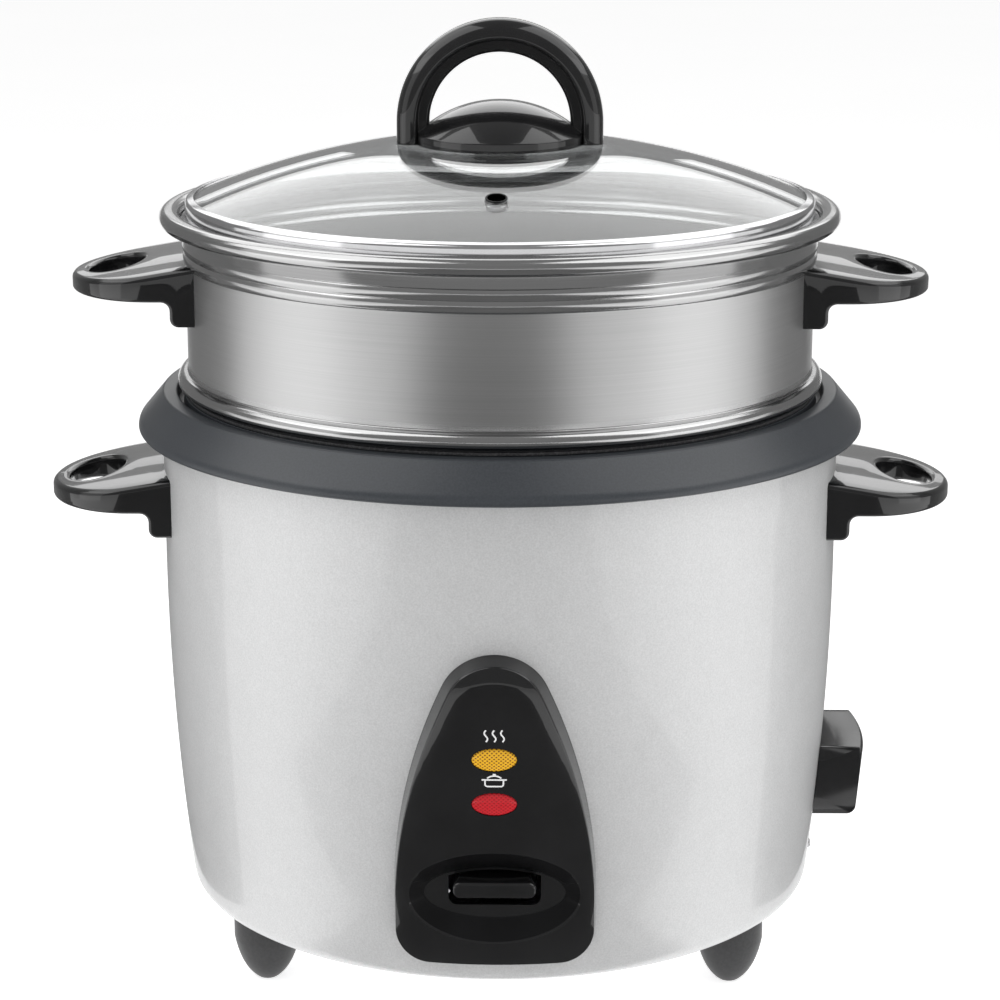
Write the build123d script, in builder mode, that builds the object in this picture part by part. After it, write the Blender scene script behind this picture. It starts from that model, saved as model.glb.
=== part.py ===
from build123d import *
import os
from math import asin, cos, radians, sin, sqrt

# Rice cooker with a steamer tray, in millimetres.
# Origin on the table under the middle of the drum, +Z up, control panel towards -Y.

# Fits and fasteners
seat_gap = 0.15
rest_gap = 0.1
pin_clearance = 0.05
hole_clearance = 0.2
screw_radius = 2.0
screw_head_radius = 3.6
screw_head_height = 2.2

# Main sizes, which the others follow
collar_radius = 129.0
drum_top = 198.0
drum_bottom = 25.1
pot_bottom = 80.0
steamer_wall_height = 45.2

# Drum, the painted sheet body
brim_overhang = 8.5
drum_shoulder_drop = 48.0
drum_taper_radius = 1014.0
drum_corner = 6.0
drum_sheet = 0.8
floor_flange = 38.5

# Collar, the plastic ring round the mouth
brim_drop = 3.1
brim_height = 2.9
crown_inset = 9.0
crown_width = 5.2
crown_rise = 10.5
moat_width = 2.2
moat_depth = 4.5
seat_width = 3.0
seat_drop = 0.7
skirt_wall = 2.0
skirt_drop = 10.0
collar_roof_rise = 3.5
tongue_wall = 2.4
brim_edge_radius = 4.35
brim_foot_radius = 1.2
crown_edge_radius = 1.6
mouth_edge_radius = 1.0

# Base and feet
base_sheet = 1.2
base_margin = 15.0
vent_hole_radius = 2.5
vent_circle_radius = 40.0
vent_count = 12
foot_inset = 24.8
foot_radius = 11.8
foot_pad_radius = 3.5
foot_straight = 9.0
foot_bulge_radius = 8.65
foot_bulge_height = 6.1
foot_screw_length = 14.0

# Side handles, alike on the drum and on the steamer
handle_drop = 17.0
handle_reach = 40.8
handle_nose = 31.0
handle_half_width = 37.0
handle_slope = 9.7
handle_crown_radius = 430.0
handle_height = 12.6
handle_edge_top = 2.0
handle_edge_bottom = 1.2
finger_hole_middle = 25.0
finger_hole_depth = 19.4
finger_hole_width = 34.0
finger_hole_edge = 1.6
block_drop = 21.3
block_wall = 2.4
block_corner = 3.0
block_fillet = 3.0
handle_screw_spread = 16.0
handle_screw_drop = 15.9
handle_screw_bite = 1.2

# Control panel
panel_lift = 9.6
panel_half_width = 33.8
panel_corner = 12.0
panel_straight = 23.3
panel_side_radius = 176.8
panel_crown_radius = 19.0
panel_depth = 8.0
panel_edge = 3.2
panel_screw_bite = 3.2
recess_width = 58.8
recess_height = 33.2
recess_lift = 25.8
recess_floor_width = 48.2
recess_floor_height = 18.2
recess_floor_wall = 1.6
slot_width = 30.8
slot_height = 13.2
slot_lift = 2.1
slot_corner = 3.0
lens_width = 14.8
lens_height = 7.8
lens_lift = 34.0
lens_spacing = 15.5
lens_depth = 6.5
lens_edge = 0.7
window_half_width = 20.0
window_drop = 6.5
window_margin = 4.0

# Power inlet
inlet_lift = 27.9
inlet_half_width = 22.0
inlet_height = 25.0
inlet_stand_top = 12.9
inlet_stand_bottom = 10.7
inlet_corner = 3.3
inlet_edge = 1.1
socket_width = 24.8
socket_height = 16.6
socket_depth = 17.0
inlet_screw_bite = 2.0
inlet_neck_wall = 2.0
neck_liner_gap = 1.0
pin_tail = 0.8
pin_width = 2.0
pin_height = 4.0
pin_recess = 6.0
pin_spread = 7.0
pin_stagger = 4.0
rivet_lift = 8.2
rivet_radius = 1.9
rivet_head = 1.2
rivet_edge = 0.7
rivet_shank = 1.3
rivet_stand = 0.3

# Inner pot
pot_play = 1.8
pot_corner = 16.0
pot_wall = 1.2
pot_rim_play = 0.3

# Steamer tray
steamer_sheet = 0.8
tray_play = 0.8
tray_corner = 4.0
tray_drop = 12.6
bead_radius = 3.2
bead_play = 0.1
bead_stand = 3.7
ridge_height = 3.85
ridge_reach = 0.9
handle_ridge_lap = 1.8
groove_reach = 0.2
neck_step = 0.5
neck_height = 6.1
ledge_width = 1.9
hem_height = 4.8
hem_overhang = 7.0
hem_radius = 3.0
hem_inner_radius = 2.5
hem_tip = 1.5
tray_hole_radius = 3.2
tray_hole_spacing = 21.0
tray_hole_rings = 4

# Lid
glass_radius = 287.0
glass_edge_rise = 7.25
glass_thickness = 4.0
glass_flat_radius = 42.0
rim_play = 0.4
rim_flange_width = 1.7
rim_flange = 0.9
rim_lip = 0.6
rim_wall = 1.8
rim_cover = 1.2
rim_grip_top = 2.0
rim_grip_bottom = 3.2
vent_inset = 30.9
vent_bore = 2.9
vent_wall = 0.5
vent_flange = 0.6
vent_flange_height = 0.5

# Lid knob
knob_base_radius = 29.5
knob_base_rim = 3.3
knob_dome_rise = 11.9
arch_radius = 36.3
arch_rise = 7.5
arch_band = 7.4
arch_half_depth = 7.0
arch_edge = 3.1
arch_hole_radius = 24.7
web_half_depth = 4.2
web_edge = 1.2
knob_screw_radius = 2.5
knob_screw_head = 5.0
knob_screw_depth = 9.0
washer_radius = 9.0
washer_sheet = 1.0
gasket_radius = 11.0
gasket_height = 1.4

# Liner and heater
liner_play = 1.6
liner_sheet = 0.8
liner_corner = 6.0
liner_hole = 54.0
plate_radius = 70.0
plate_height = 10.0
plate_hole = 14.0
plate_screw_bite = 6.0
element_circle_radius = 46.0
element_radius = 5.5
terminal_radius = 2.0
terminal_length = 14.0
terminal_angle = 20.0
spacer_radius = 4.0
spacer_circle_radius = 60.0
warm_band_lift = 50.9
warm_band_height = 30.0
warm_band_wall = 1.0
fuse_radius = 2.4
fuse_length = 12.0
fuse_left = 22.0
fuse_back = 18.0

# Cook lever and its switch
key_width = 27.4
key_height = 5.6
key_lift = 3.5
key_stand = 5.8
key_length = 14.3
key_edge = 1.2
key_corner = 2.2
stem_length = 14.0
leg_thickness = 3.0
arm_lift = 5.9
arm_height = 3.0
arm_half_width = 5.0
arm_end = 6.0
fork_clearance = 0.3
pivot_place = 62.0
pivot_radius = 2.0
lug_half_length = 4.0
lug_half_height = 4.0
cheek_gap = 0.4
cheek_wall = 1.4
cheek_half_length = 5.0
tab_place = 36.0
tab_reach = 14.0
tab_half_length = 4.0
plunger_radius = 1.5
plunger_gap = 0.4
plunger_stroke_room = 2.5
switch_lift = 4.0
switch_height = 12.0
switch_width = 10.5
switch_length = 20.0
switch_side_gap = 1.5
bracket_sheet = 1.2
bracket_foot = 9.0

# Thermostat in the middle of the heater
sensor_gap = 0.3
sensor_radius = 12.5
sensor_roof = 2.0
sensor_skirt_radius = 10.5
sensor_skirt_wall = 0.8
sensor_height = 19.7
tube_clearance = 0.4
tube_wall = 0.6
tube_lift = 7.0
tube_floor = 1.0
tube_flange_radius = 18.0
ferrite_radius = 7.5
ferrite_height = 6.0
magnet_height = 6.0
magnet_gap = 4.0
rod_radius = 2.0
rod_lift = 3.4
collar_disc_radius = 4.0
collar_disc_height = 1.5
sensor_wire = 0.55
sensor_turns = 5
release_wire = 0.35
release_turns = 3
release_coil_radius = 4.5
spring_end_gap = 0.1

# Indicator lamps
lamp_radius = 2.2
lamp_length = 5.2
lamp_edge = 0.7
board_sheet = 1.2
board_half_width = 9.0
board_margin = 7.0
post_radius = 2.6

# Supply wires
wire_radius = 1.3
wire_spread = 7.0
wire_bend = 12.0

# Radii that follow from the collar's
drum_radius = collar_radius - brim_overhang
drum_floor_hole = drum_radius - floor_flange
crown_radius = collar_radius - crown_inset
mouth_radius = crown_radius - crown_width
seat_outer_radius = mouth_radius - moat_width
skirt_radius = seat_outer_radius - seat_width
foot_circle_radius = drum_radius - foot_inset
inlet_reach_top = drum_radius + inlet_stand_top
inlet_reach_bottom = drum_radius + inlet_stand_bottom
key_front = drum_radius + key_stand
key_back = key_front - key_length
leg_back = key_back - stem_length
pot_radius = skirt_radius - pot_play
pot_rim_radius = seat_outer_radius - pot_rim_play
liner_radius = skirt_radius + skirt_wall + liner_play
tray_radius = pot_radius - pot_wall - tray_play
bead_reach = mouth_radius - bead_play
steamer_wall_radius = bead_reach - bead_stand
neck_radius = steamer_wall_radius + neck_step
ledge_radius = steamer_wall_radius + ledge_width
hem_reach = ledge_radius + hem_overhang
rim_flange_radius = ledge_radius - rim_play
rim_radius = rim_flange_radius - rim_flange_width
glass_edge = rim_radius - rim_cover
vent_place = glass_edge - vent_inset
tube_inner_radius = sensor_skirt_radius + tube_clearance
lamp_front = drum_radius + panel_depth - lens_depth
board_front = lamp_front - lamp_length - seat_gap

# Heights that follow from the drum's and the pot's
base_top = drum_bottom + drum_sheet + base_sheet
drum_shoulder = drum_top - drum_shoulder_drop
brim_bottom = drum_top - brim_drop
brim_top = brim_bottom + brim_height
collar_top = drum_top + crown_rise
moat_floor = collar_top - moat_depth
seat_height = collar_top - seat_drop
skirt_bottom = drum_top - skirt_drop
collar_roof = drum_top + collar_roof_rise
handle_level = drum_top - handle_drop
panel_bottom = drum_bottom + panel_lift
panel_straight_to = panel_bottom + panel_straight
recess_middle = panel_bottom + recess_lift
slot_middle = recess_middle + slot_lift
key_middle = recess_middle + key_lift
cook_lens_height = recess_middle + lens_lift
warm_lens_height = cook_lens_height + lens_spacing
window_bottom = recess_middle - window_drop
window_top = warm_lens_height + window_margin
inlet_bottom = drum_bottom + inlet_lift
inlet_top = inlet_bottom + inlet_height
rivet_height = drum_bottom + rivet_lift
plate_top = pot_bottom - rest_gap
plate_bottom = plate_top - plate_height
liner_floor = plate_bottom - liner_sheet
warm_band_bottom = liner_floor + warm_band_lift
arm_bottom = base_top + arm_lift
arm_top = arm_bottom + arm_height
pivot_height = arm_top
switch_bottom = arm_top + switch_lift
rod_bottom = base_top + rod_lift
tube_bottom = arm_top + tube_lift
sensor_top = pot_bottom - sensor_gap
sensor_skirt_bottom = sensor_top - sensor_height
ferrite_bottom = sensor_top - sensor_roof - ferrite_height
magnet_top = ferrite_bottom - magnet_gap
magnet_bottom = magnet_top - magnet_height
pot_rim_bottom = seat_height + rest_gap
pot_rim_top = pot_rim_bottom + pot_wall
tray_landing = pot_rim_top + rest_gap
tray_floor = tray_landing - tray_drop
wall_top = tray_landing + steamer_wall_height
neck_bottom = wall_top + 2*ridge_height
ledge_height = neck_bottom + neck_height
hem_top = ledge_height + hem_height
steamer_handle_level = wall_top + handle_ridge_lap
dome_centre = ledge_height + glass_edge_rise - sqrt(glass_radius**2 - glass_edge**2)
glass_top = dome_centre + sqrt(glass_radius**2 - glass_flat_radius**2)
arch_centre = glass_top + arch_rise
side_names = {-1: "left", 1: "right"}


def drum_radius_at(height):
    """Outer radius of the drum: straight above the shoulder, a long arc below it."""
    drop = max(0.0, drum_shoulder - height)
    return drum_radius - drum_taper_radius + sqrt(drum_taper_radius**2 - drop**2)


def dome_height(radius, curvature):
    """Height of a dome of the given curvature above the table, at a distance from the axis."""
    return dome_centre + sqrt(curvature**2 - radius**2)


def wall_depth(radius, offset):
    """Distance from the axis to a round wall, measured along a line beside the axis."""
    return sqrt(radius**2 - offset**2)


def drum_core(growth, top):
    """Solid of the drum's outline, grown or shrunk, that shapes shells and the backs of wall fittings."""
    bottom = drum_bottom - growth
    foot_point = (drum_radius_at(drum_bottom) + growth, bottom)
    middle = (drum_bottom + drum_shoulder)/2
    shoulder_point = (drum_radius + growth, drum_shoulder)
    with BuildPart() as core:
        with BuildSketch(Plane.XZ) as outline:
            with BuildLine():
                Polyline((0, top), (0, bottom), foot_point)
                ThreePointArc(foot_point, (drum_radius_at(middle) + growth, middle), shoulder_point)
                Polyline(shoulder_point, (drum_radius + growth, top), (0, top))
            make_face()
            corner = outline.vertices().sort_by_distance((*foot_point, 0))[0]
            fillet(corner, drum_corner + growth)
        revolve(axis=Axis.Z)
    return core.part


def glass_face(edge, growth):
    """Half section of the glass, domed round a flat middle, out to an edge radius, grown on both faces."""
    outer = glass_radius + growth
    inner = glass_radius - glass_thickness - growth
    flat_top = glass_top + growth
    flat_bottom = glass_top - glass_thickness - growth
    top_radius = sqrt(outer**2 - (flat_top - dome_centre)**2)
    bottom_radius = sqrt(inner**2 - (flat_bottom - dome_centre)**2)
    with BuildSketch() as face:
        with BuildLine():
            ThreePointArc(
                (top_radius, flat_top),
                (edge/2 + top_radius/2, dome_height(edge/2 + top_radius/2, outer)),
                (edge, dome_height(edge, outer)),
            )
            Line((edge, dome_height(edge, outer)), (edge, dome_height(edge, inner)))
            ThreePointArc(
                (edge, dome_height(edge, inner)),
                (edge/2 + bottom_radius/2, dome_height(edge/2 + bottom_radius/2, inner)),
                (bottom_radius, flat_bottom),
            )
            Polyline((bottom_radius, flat_bottom), (0, flat_bottom), (0, flat_top), (top_radius, flat_top))
        make_face()
    return face.sketch


def finish(piece, name):
    """Name a finished piece and write it to its own file."""
    piece.part.label = name
    export_step(piece.part, f"parts/{name}.step")


os.makedirs("parts", exist_ok=True)
drum_solid = drum_core(0, drum_top)
drum_inside = drum_core(-drum_sheet, drum_top + drum_sheet)
drum_seat = drum_core(seat_gap, drum_top)

# Body shell: the drum with its windows and screw holes
handle_screw_height = handle_level - handle_screw_drop
panel_crown_angle = asin(sqrt(1 - ((panel_side_radius - panel_half_width)
                                   / (panel_side_radius - panel_crown_radius))**2))
panel_top = (panel_straight_to + panel_crown_radius
             + (panel_side_radius - panel_crown_radius)*sin(panel_crown_angle))
panel_screw_heights = (
    (panel_bottom + recess_middle - recess_height/2)/2 + screw_radius,
    (panel_top + window_top)/2,
)
inlet_middle = (inlet_bottom + inlet_top)/2
neck_half_width = socket_width/2 + inlet_neck_wall
neck_half_height = socket_height/2 + inlet_neck_wall
inlet_screw_place = (neck_half_width + inlet_half_width)/2
inlet_neck_end = liner_radius + neck_liner_gap

with BuildPart() as body_shell:
    add(drum_solid)
    add(drum_inside, mode=Mode.SUBTRACT)
    with BuildSketch(Plane.XY.offset(drum_bottom)):
        Circle(drum_floor_hole)
    extrude(amount=2*drum_sheet, both=True, mode=Mode.SUBTRACT)
    with BuildSketch(Plane.XY.offset(drum_bottom)):
        with PolarLocations(foot_circle_radius, 3, start_angle=90):
            Circle(screw_radius + hole_clearance)
    extrude(amount=2*drum_sheet, both=True, mode=Mode.SUBTRACT)
    with BuildSketch(Plane.XZ.offset(drum_radius/2)):
        with Locations((0, (window_bottom + window_top)/2)):
            Rectangle(2*window_half_width, window_top - window_bottom)
        with Locations(*[(0, height) for height in panel_screw_heights]):
            Circle(screw_radius + hole_clearance)
    extrude(amount=drum_radius, mode=Mode.SUBTRACT)
    with BuildSketch(Plane.YZ.offset(drum_radius/2)):
        with Locations((0, inlet_middle)):
            Rectangle(2*(neck_half_width + hole_clearance), 2*(neck_half_height + hole_clearance))
            with GridLocations(2*inlet_screw_place, 0, 2, 1):
                Circle(screw_radius + hole_clearance)
        with Locations((0, rivet_height)):
            Circle(rivet_shank + hole_clearance)
    extrude(amount=drum_radius, mode=Mode.SUBTRACT)
    with BuildSketch(Plane.YZ):
        with Locations((0, handle_screw_height)):
            with GridLocations(2*handle_screw_spread, 0, 2, 1):
                Circle(screw_radius + hole_clearance)
    extrude(amount=2*drum_radius, both=True, mode=Mode.SUBTRACT)
finish(body_shell, "body_shell")

# Collar: brim over the drum's edge, seat for the pot's rim and a moat between them
tongue_radius = drum_radius - drum_sheet - 2*seat_gap
lip_radius = drum_radius + 2*seat_gap
with BuildPart() as collar_ring:
    with BuildSketch(Plane.XZ) as outline:
        with BuildLine():
            Polyline(
                (collar_radius, brim_bottom),
                (collar_radius, brim_top),
                (crown_radius, collar_top),
                (mouth_radius, collar_top),
                (mouth_radius, moat_floor),
                (seat_outer_radius, moat_floor),
                (seat_outer_radius, seat_height),
                (skirt_radius, seat_height),
                (skirt_radius, skirt_bottom),
                (skirt_radius + skirt_wall, skirt_bottom),
                (skirt_radius + skirt_wall, collar_roof),
                (tongue_radius - tongue_wall, collar_roof),
                (tongue_radius - tongue_wall, skirt_bottom),
                (tongue_radius, skirt_bottom),
                (tongue_radius, drum_top + seat_gap),
                (lip_radius, drum_top + seat_gap),
                (lip_radius, brim_bottom),
                close=True,
            )
        make_face()
        brim_edge = outline.vertices().sort_by_distance((collar_radius, brim_top, 0))[0]
        fillet(brim_edge, brim_edge_radius)
        brim_foot = outline.vertices().sort_by_distance((collar_radius, brim_bottom, 0))[0]
        fillet(brim_foot, brim_foot_radius)
        crown_edge = outline.vertices().sort_by_distance((crown_radius, collar_top, 0))[0]
        fillet(crown_edge, crown_edge_radius)
        mouth_edge = outline.vertices().sort_by_distance((mouth_radius, collar_top, 0))[0]
        fillet(mouth_edge, mouth_edge_radius)
    revolve(axis=Axis.Z)
finish(collar_ring, "collar_ring")

# Base plate with vent holes, resting on the drum's turned-in floor
base_radius = drum_radius_at(drum_bottom) - base_margin
with BuildPart() as base_plate:
    with BuildSketch(Plane.XY.offset(drum_bottom + drum_sheet)):
        Circle(base_radius)
        with PolarLocations(foot_circle_radius, 3, start_angle=90):
            Circle(screw_radius + hole_clearance, mode=Mode.SUBTRACT)
        with PolarLocations(vent_circle_radius, vent_count):
            Circle(vent_hole_radius, mode=Mode.SUBTRACT)
    extrude(amount=base_sheet)
finish(base_plate, "base_plate")

# Feet: rounded cones under the drum, one at the back and two in front
foot_screw_end = base_top - foot_screw_length
foot_names = ("foot_rear", "foot_front_left", "foot_front_right")
for place, name in zip(PolarLocations(foot_circle_radius, 3, start_angle=90), foot_names):
    foot_axis = Axis(place.position, (0, 0, 1))
    with BuildPart() as foot:
        with BuildSketch(Plane(origin=place.position, x_dir=(1, 0, 0), z_dir=(0, -1, 0))):
            with BuildLine():
                side_start = (foot_pad_radius, 0)
                side_end = (foot_radius, drum_bottom - foot_straight)
                bulge = (foot_bulge_radius, foot_bulge_height)
                Line((0, 0), side_start)
                ThreePointArc(side_start, bulge, side_end)
                Polyline(side_end, (foot_radius, drum_bottom), (0, drum_bottom), (0, 0))
            make_face()
        revolve(axis=foot_axis)
        with BuildSketch(Plane(origin=place.position + Vector(0, 0, drum_bottom))):
            Circle(screw_radius + pin_clearance)
        extrude(amount=foot_screw_end - rest_gap - drum_bottom, mode=Mode.SUBTRACT)
    finish(foot, name)

with BuildPart() as foot_screws:
    with BuildSketch(Plane.XY.offset(foot_screw_end)):
        with PolarLocations(foot_circle_radius, 3, start_angle=90):
            Circle(screw_radius)
    extrude(amount=foot_screw_length)
    with BuildSketch(Plane.XY.offset(base_top)):
        with PolarLocations(foot_circle_radius, 3, start_angle=90):
            Circle(screw_head_radius)
    extrude(amount=screw_head_height)
finish(foot_screws, "foot_screws")


def side_handle(wall_radius, level, side):
    """Crowned handle with an oval finger hole and a foot that fits against a round wall, one moulding."""
    tilt = radians(handle_slope)
    inside = handle_half_width**2/wall_radius
    root = wall_radius - inside
    straight_end = wall_radius + handle_reach - handle_nose
    block_face = wall_radius + block_wall
    over_width = 2*handle_half_width
    crown_drop = handle_crown_radius - sqrt(handle_crown_radius**2 - over_width**2)
    cross = Plane(origin=(0, 0, level), x_dir=(side, 0, 0), z_dir=(0, -side, 0))
    along = Plane(
        origin=(side*wall_radius, 0, level),
        x_dir=(0, side, 0),
        z_dir=(side*cos(tilt), 0, -sin(tilt)),
    )
    with BuildPart() as handle:
        with BuildSketch(cross) as profile:
            with BuildLine():
                Polyline(
                    (root, handle_height),
                    (straight_end + 2*handle_nose, handle_height),
                    (straight_end + 2*handle_nose, -handle_height),
                    (block_face, -handle_height),
                    (block_face, -block_drop),
                    (root, -block_drop),
                    close=True,
                )
            make_face()
            fillet(profile.vertices().sort_by_distance((block_face, -handle_height, 0))[0], block_fillet)
            fillet(profile.vertices().sort_by_distance((block_face, -block_drop, 0))[0], block_corner)
        extrude(amount=over_width, both=True)
        with BuildSketch(Plane.XY.offset(level - 2*block_drop)):
            with Locations((side*(root + straight_end)/2, 0)):
                Rectangle(straight_end - root, 2*handle_half_width)
            with Locations((side*straight_end, 0)):
                Ellipse(handle_nose, handle_half_width)
            with Locations((side*(wall_radius + finger_hole_middle), 0)):
                Ellipse(finger_hole_depth/2, finger_hole_width/2, mode=Mode.SUBTRACT)
        extrude(amount=4*block_drop, mode=Mode.INTERSECT)
        with BuildSketch(along):
            with BuildLine():
                ThreePointArc((-over_width, -crown_drop), (0, 0), (over_width, -crown_drop))
                Polyline(
                    (over_width, -crown_drop),
                    (over_width, -3*block_drop),
                    (-over_width, -3*block_drop),
                    (-over_width, -crown_drop),
                )
            make_face()
        extrude(amount=2*handle_reach, both=True, mode=Mode.INTERSECT)

        def at_hole(edge):
            """True for the edges round the finger hole."""
            middle = edge.center(CenterOf.BOUNDING_BOX)
            off_middle = abs(abs(middle.X) - wall_radius - finger_hole_middle)
            return off_middle < finger_hole_depth/8 and abs(middle.Y) < 1

        def on_outline(edge):
            """True for the edges of the outline in front of the wall."""
            middle = edge.center(CenterOf.BOUNDING_BOX)
            beside = min(abs(vertex.Y) for vertex in edge.vertices()) > handle_half_width - rest_gap
            return beside and abs(middle.X) > root + rest_gap and not at_hole(edge)

        top_face = handle.faces().sort_by(Axis.Z)[-1]
        top_edges = top_face.edges()
        low_edges = handle.edges().filter_by(lambda edge: edge not in top_edges)
        fillet(top_edges.filter_by(on_outline), handle_edge_top)
        fillet(low_edges.filter_by(on_outline), handle_edge_bottom)
        fillet(handle.edges().filter_by(at_hole), finger_hole_edge)
        with Locations((0, 0, level)):
            Cylinder(wall_radius + seat_gap, 4*block_drop, mode=Mode.SUBTRACT)
        with Locations((0, 0, wall_top - steamer_sheet)):
            Cylinder(
                wall_radius + ridge_reach + groove_reach + seat_gap,
                block_drop,
                align=(Align.CENTER, Align.CENTER, Align.MIN),
                mode=Mode.SUBTRACT,
            )
        with BuildSketch(Plane.YZ):
            with Locations((0, level - handle_screw_drop)):
                with GridLocations(2*handle_screw_spread, 0, 2, 1):
                    Circle(screw_radius + pin_clearance)
        extrude(amount=side*(wall_radius + handle_screw_bite + rest_gap), mode=Mode.SUBTRACT)
    return handle


def handle_screws(wall_radius, sheet, level):
    """Two screws a side, put in from inside a round wall."""
    head_face = wall_depth(wall_radius - sheet, handle_screw_spread + screw_head_radius) - seat_gap
    with BuildPart() as screws:
        for side in side_names:
            head = Plane.YZ.offset(side*head_face)
            with BuildSketch(head):
                with Locations((0, level - handle_screw_drop)):
                    with GridLocations(2*handle_screw_spread, 0, 2, 1):
                        Circle(screw_head_radius)
            extrude(amount=-side*screw_head_height)
            with BuildSketch(head):
                with Locations((0, level - handle_screw_drop)):
                    with GridLocations(2*handle_screw_spread, 0, 2, 1):
                        Circle(screw_radius)
            extrude(amount=side*(wall_radius + handle_screw_bite - head_face))
    return screws


for side, side_name in side_names.items():
    finish(side_handle(drum_radius, handle_level, side), f"body_handle_{side_name}")
    finish(side_handle(steamer_wall_radius, steamer_handle_level, side), f"steamer_handle_{side_name}")
finish(handle_screws(drum_radius, drum_sheet, handle_level), "body_handle_screws")
finish(
    handle_screws(steamer_wall_radius, steamer_sheet, steamer_handle_level),
    "steamer_handle_screws",
)

# Control panel: an arched moulding that follows the drum, with a finger recess, a slot and two lens holes
panel_front = drum_core(panel_depth, drum_top)
recess_floor_depth = drum_radius_at(recess_middle) + recess_floor_wall
side_end_x = panel_crown_radius*cos(panel_crown_angle)
side_end_z = panel_straight_to + panel_side_radius*sin(panel_crown_angle)
post_height = (warm_lens_height + cook_lens_height)/2
with BuildPart() as control_panel:
    with BuildSketch(Plane.XZ.offset(drum_radius/2)) as outline:
        with BuildLine():
            Polyline(
                (-panel_half_width, panel_straight_to),
                (-panel_half_width, panel_bottom),
                (panel_half_width, panel_bottom),
                (panel_half_width, panel_straight_to),
            )
            RadiusArc((panel_half_width, panel_straight_to), (side_end_x, side_end_z), -panel_side_radius)
            ThreePointArc((side_end_x, side_end_z), (0, panel_top), (-side_end_x, side_end_z))
            RadiusArc((-side_end_x, side_end_z), (-panel_half_width, panel_straight_to), -panel_side_radius)
        make_face()
        fillet(outline.vertices().group_by(Axis.Y)[0], panel_corner)
    extrude(amount=drum_radius)
    add(panel_front, mode=Mode.INTERSECT)
    front_edges = control_panel.edges().filter_by(
        lambda edge: sqrt(edge.center().X**2 + edge.center().Y**2)
        > drum_radius_at(edge.center().Z) + panel_depth - rest_gap
    )
    fillet(front_edges, panel_edge)
    add(drum_seat, mode=Mode.SUBTRACT)
    with BuildSketch(Plane.XZ.offset(recess_floor_depth)):
        with Locations((0, recess_middle)):
            Ellipse(recess_floor_width/2, recess_floor_height/2)
    with BuildSketch(Plane.XZ.offset(recess_floor_depth + panel_depth)):
        with Locations((0, recess_middle)):
            Ellipse(recess_width/2, recess_height/2)
    loft(mode=Mode.SUBTRACT)
    with BuildSketch(Plane.XZ.offset(drum_radius/2)):
        with Locations((0, slot_middle)):
            RectangleRounded(slot_width, slot_height, slot_corner)
        with Locations((0, warm_lens_height), (0, cook_lens_height)):
            Ellipse(lens_width/2 + seat_gap, lens_height/2 + seat_gap)
    extrude(amount=drum_radius, mode=Mode.SUBTRACT)
    for height in panel_screw_heights:
        with BuildSketch(Plane.XZ.offset(drum_radius/2)):
            with Locations((0, height)):
                Circle(screw_radius + pin_clearance)
        screw_end = drum_radius_at(height) + panel_screw_bite + rest_gap
        extrude(amount=screw_end - drum_radius/2, mode=Mode.SUBTRACT)
    with BuildSketch(Plane.XZ.offset(board_front)):
        with Locations((0, post_height)):
            Circle(post_radius)
            Circle(screw_radius/2 + pin_clearance, mode=Mode.SUBTRACT)
    extrude(amount=drum_radius_at(post_height) + panel_depth/2 - board_front)
finish(control_panel, "control_panel")

with BuildPart() as panel_screws:
    for height in panel_screw_heights:
        head_face = wall_depth(drum_radius_at(height - screw_head_radius) - drum_sheet, screw_head_radius)
        head = Plane.XZ.offset(head_face - seat_gap)
        with BuildSketch(head):
            with Locations((0, height)):
                Circle(screw_head_radius)
        extrude(amount=-screw_head_height)
        with BuildSketch(head):
            with Locations((0, height)):
                Circle(screw_radius)
        extrude(amount=drum_radius_at(height) + panel_screw_bite - head_face)
finish(panel_screws, "panel_screws")

# Indicator lenses, the lamps behind them and the board that carries the lamps
for name, height in (("warm", warm_lens_height), ("cook", cook_lens_height)):
    lens_front = drum_radius_at(height) + panel_depth
    with BuildPart() as lens:
        with BuildSketch(Plane.XZ.offset(lamp_front + seat_gap)):
            with Locations((0, height)):
                Ellipse(lens_width/2, lens_height/2)
        extrude(amount=lens_front - lamp_front)
        fillet(lens.faces().sort_by(Axis.Y)[0].edges(), lens_edge)
    finish(lens, f"{name}_lens")
    with BuildPart() as lamp:
        with BuildSketch(Plane.XZ.offset(board_front)):
            with Locations((0, height)):
                Circle(lamp_radius)
        extrude(amount=lamp_length)
        fillet(lamp.faces().sort_by(Axis.Y)[0].edges(), lamp_edge)
    finish(lamp, f"{name}_lamp")

with BuildPart() as lamp_board:
    with BuildSketch(Plane.XZ.offset(board_front)):
        with Locations((0, post_height)):
            Rectangle(2*board_half_width, warm_lens_height - cook_lens_height + 2*board_margin)
            Circle(screw_radius/2 + hole_clearance, mode=Mode.SUBTRACT)
    extrude(amount=-board_sheet)
finish(lamp_board, "lamp_board")

with BuildPart() as board_screw:
    with BuildSketch(Plane.XZ.offset(board_front - board_sheet)):
        with Locations((0, post_height)):
            Circle(screw_radius)
    extrude(amount=-board_sheet/2)
    with BuildSketch(Plane.XZ.offset(board_front - board_sheet)):
        with Locations((0, post_height)):
            Circle(screw_radius/2)
    extrude(amount=board_sheet + lamp_length/2)
finish(board_screw, "board_screw")

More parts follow.
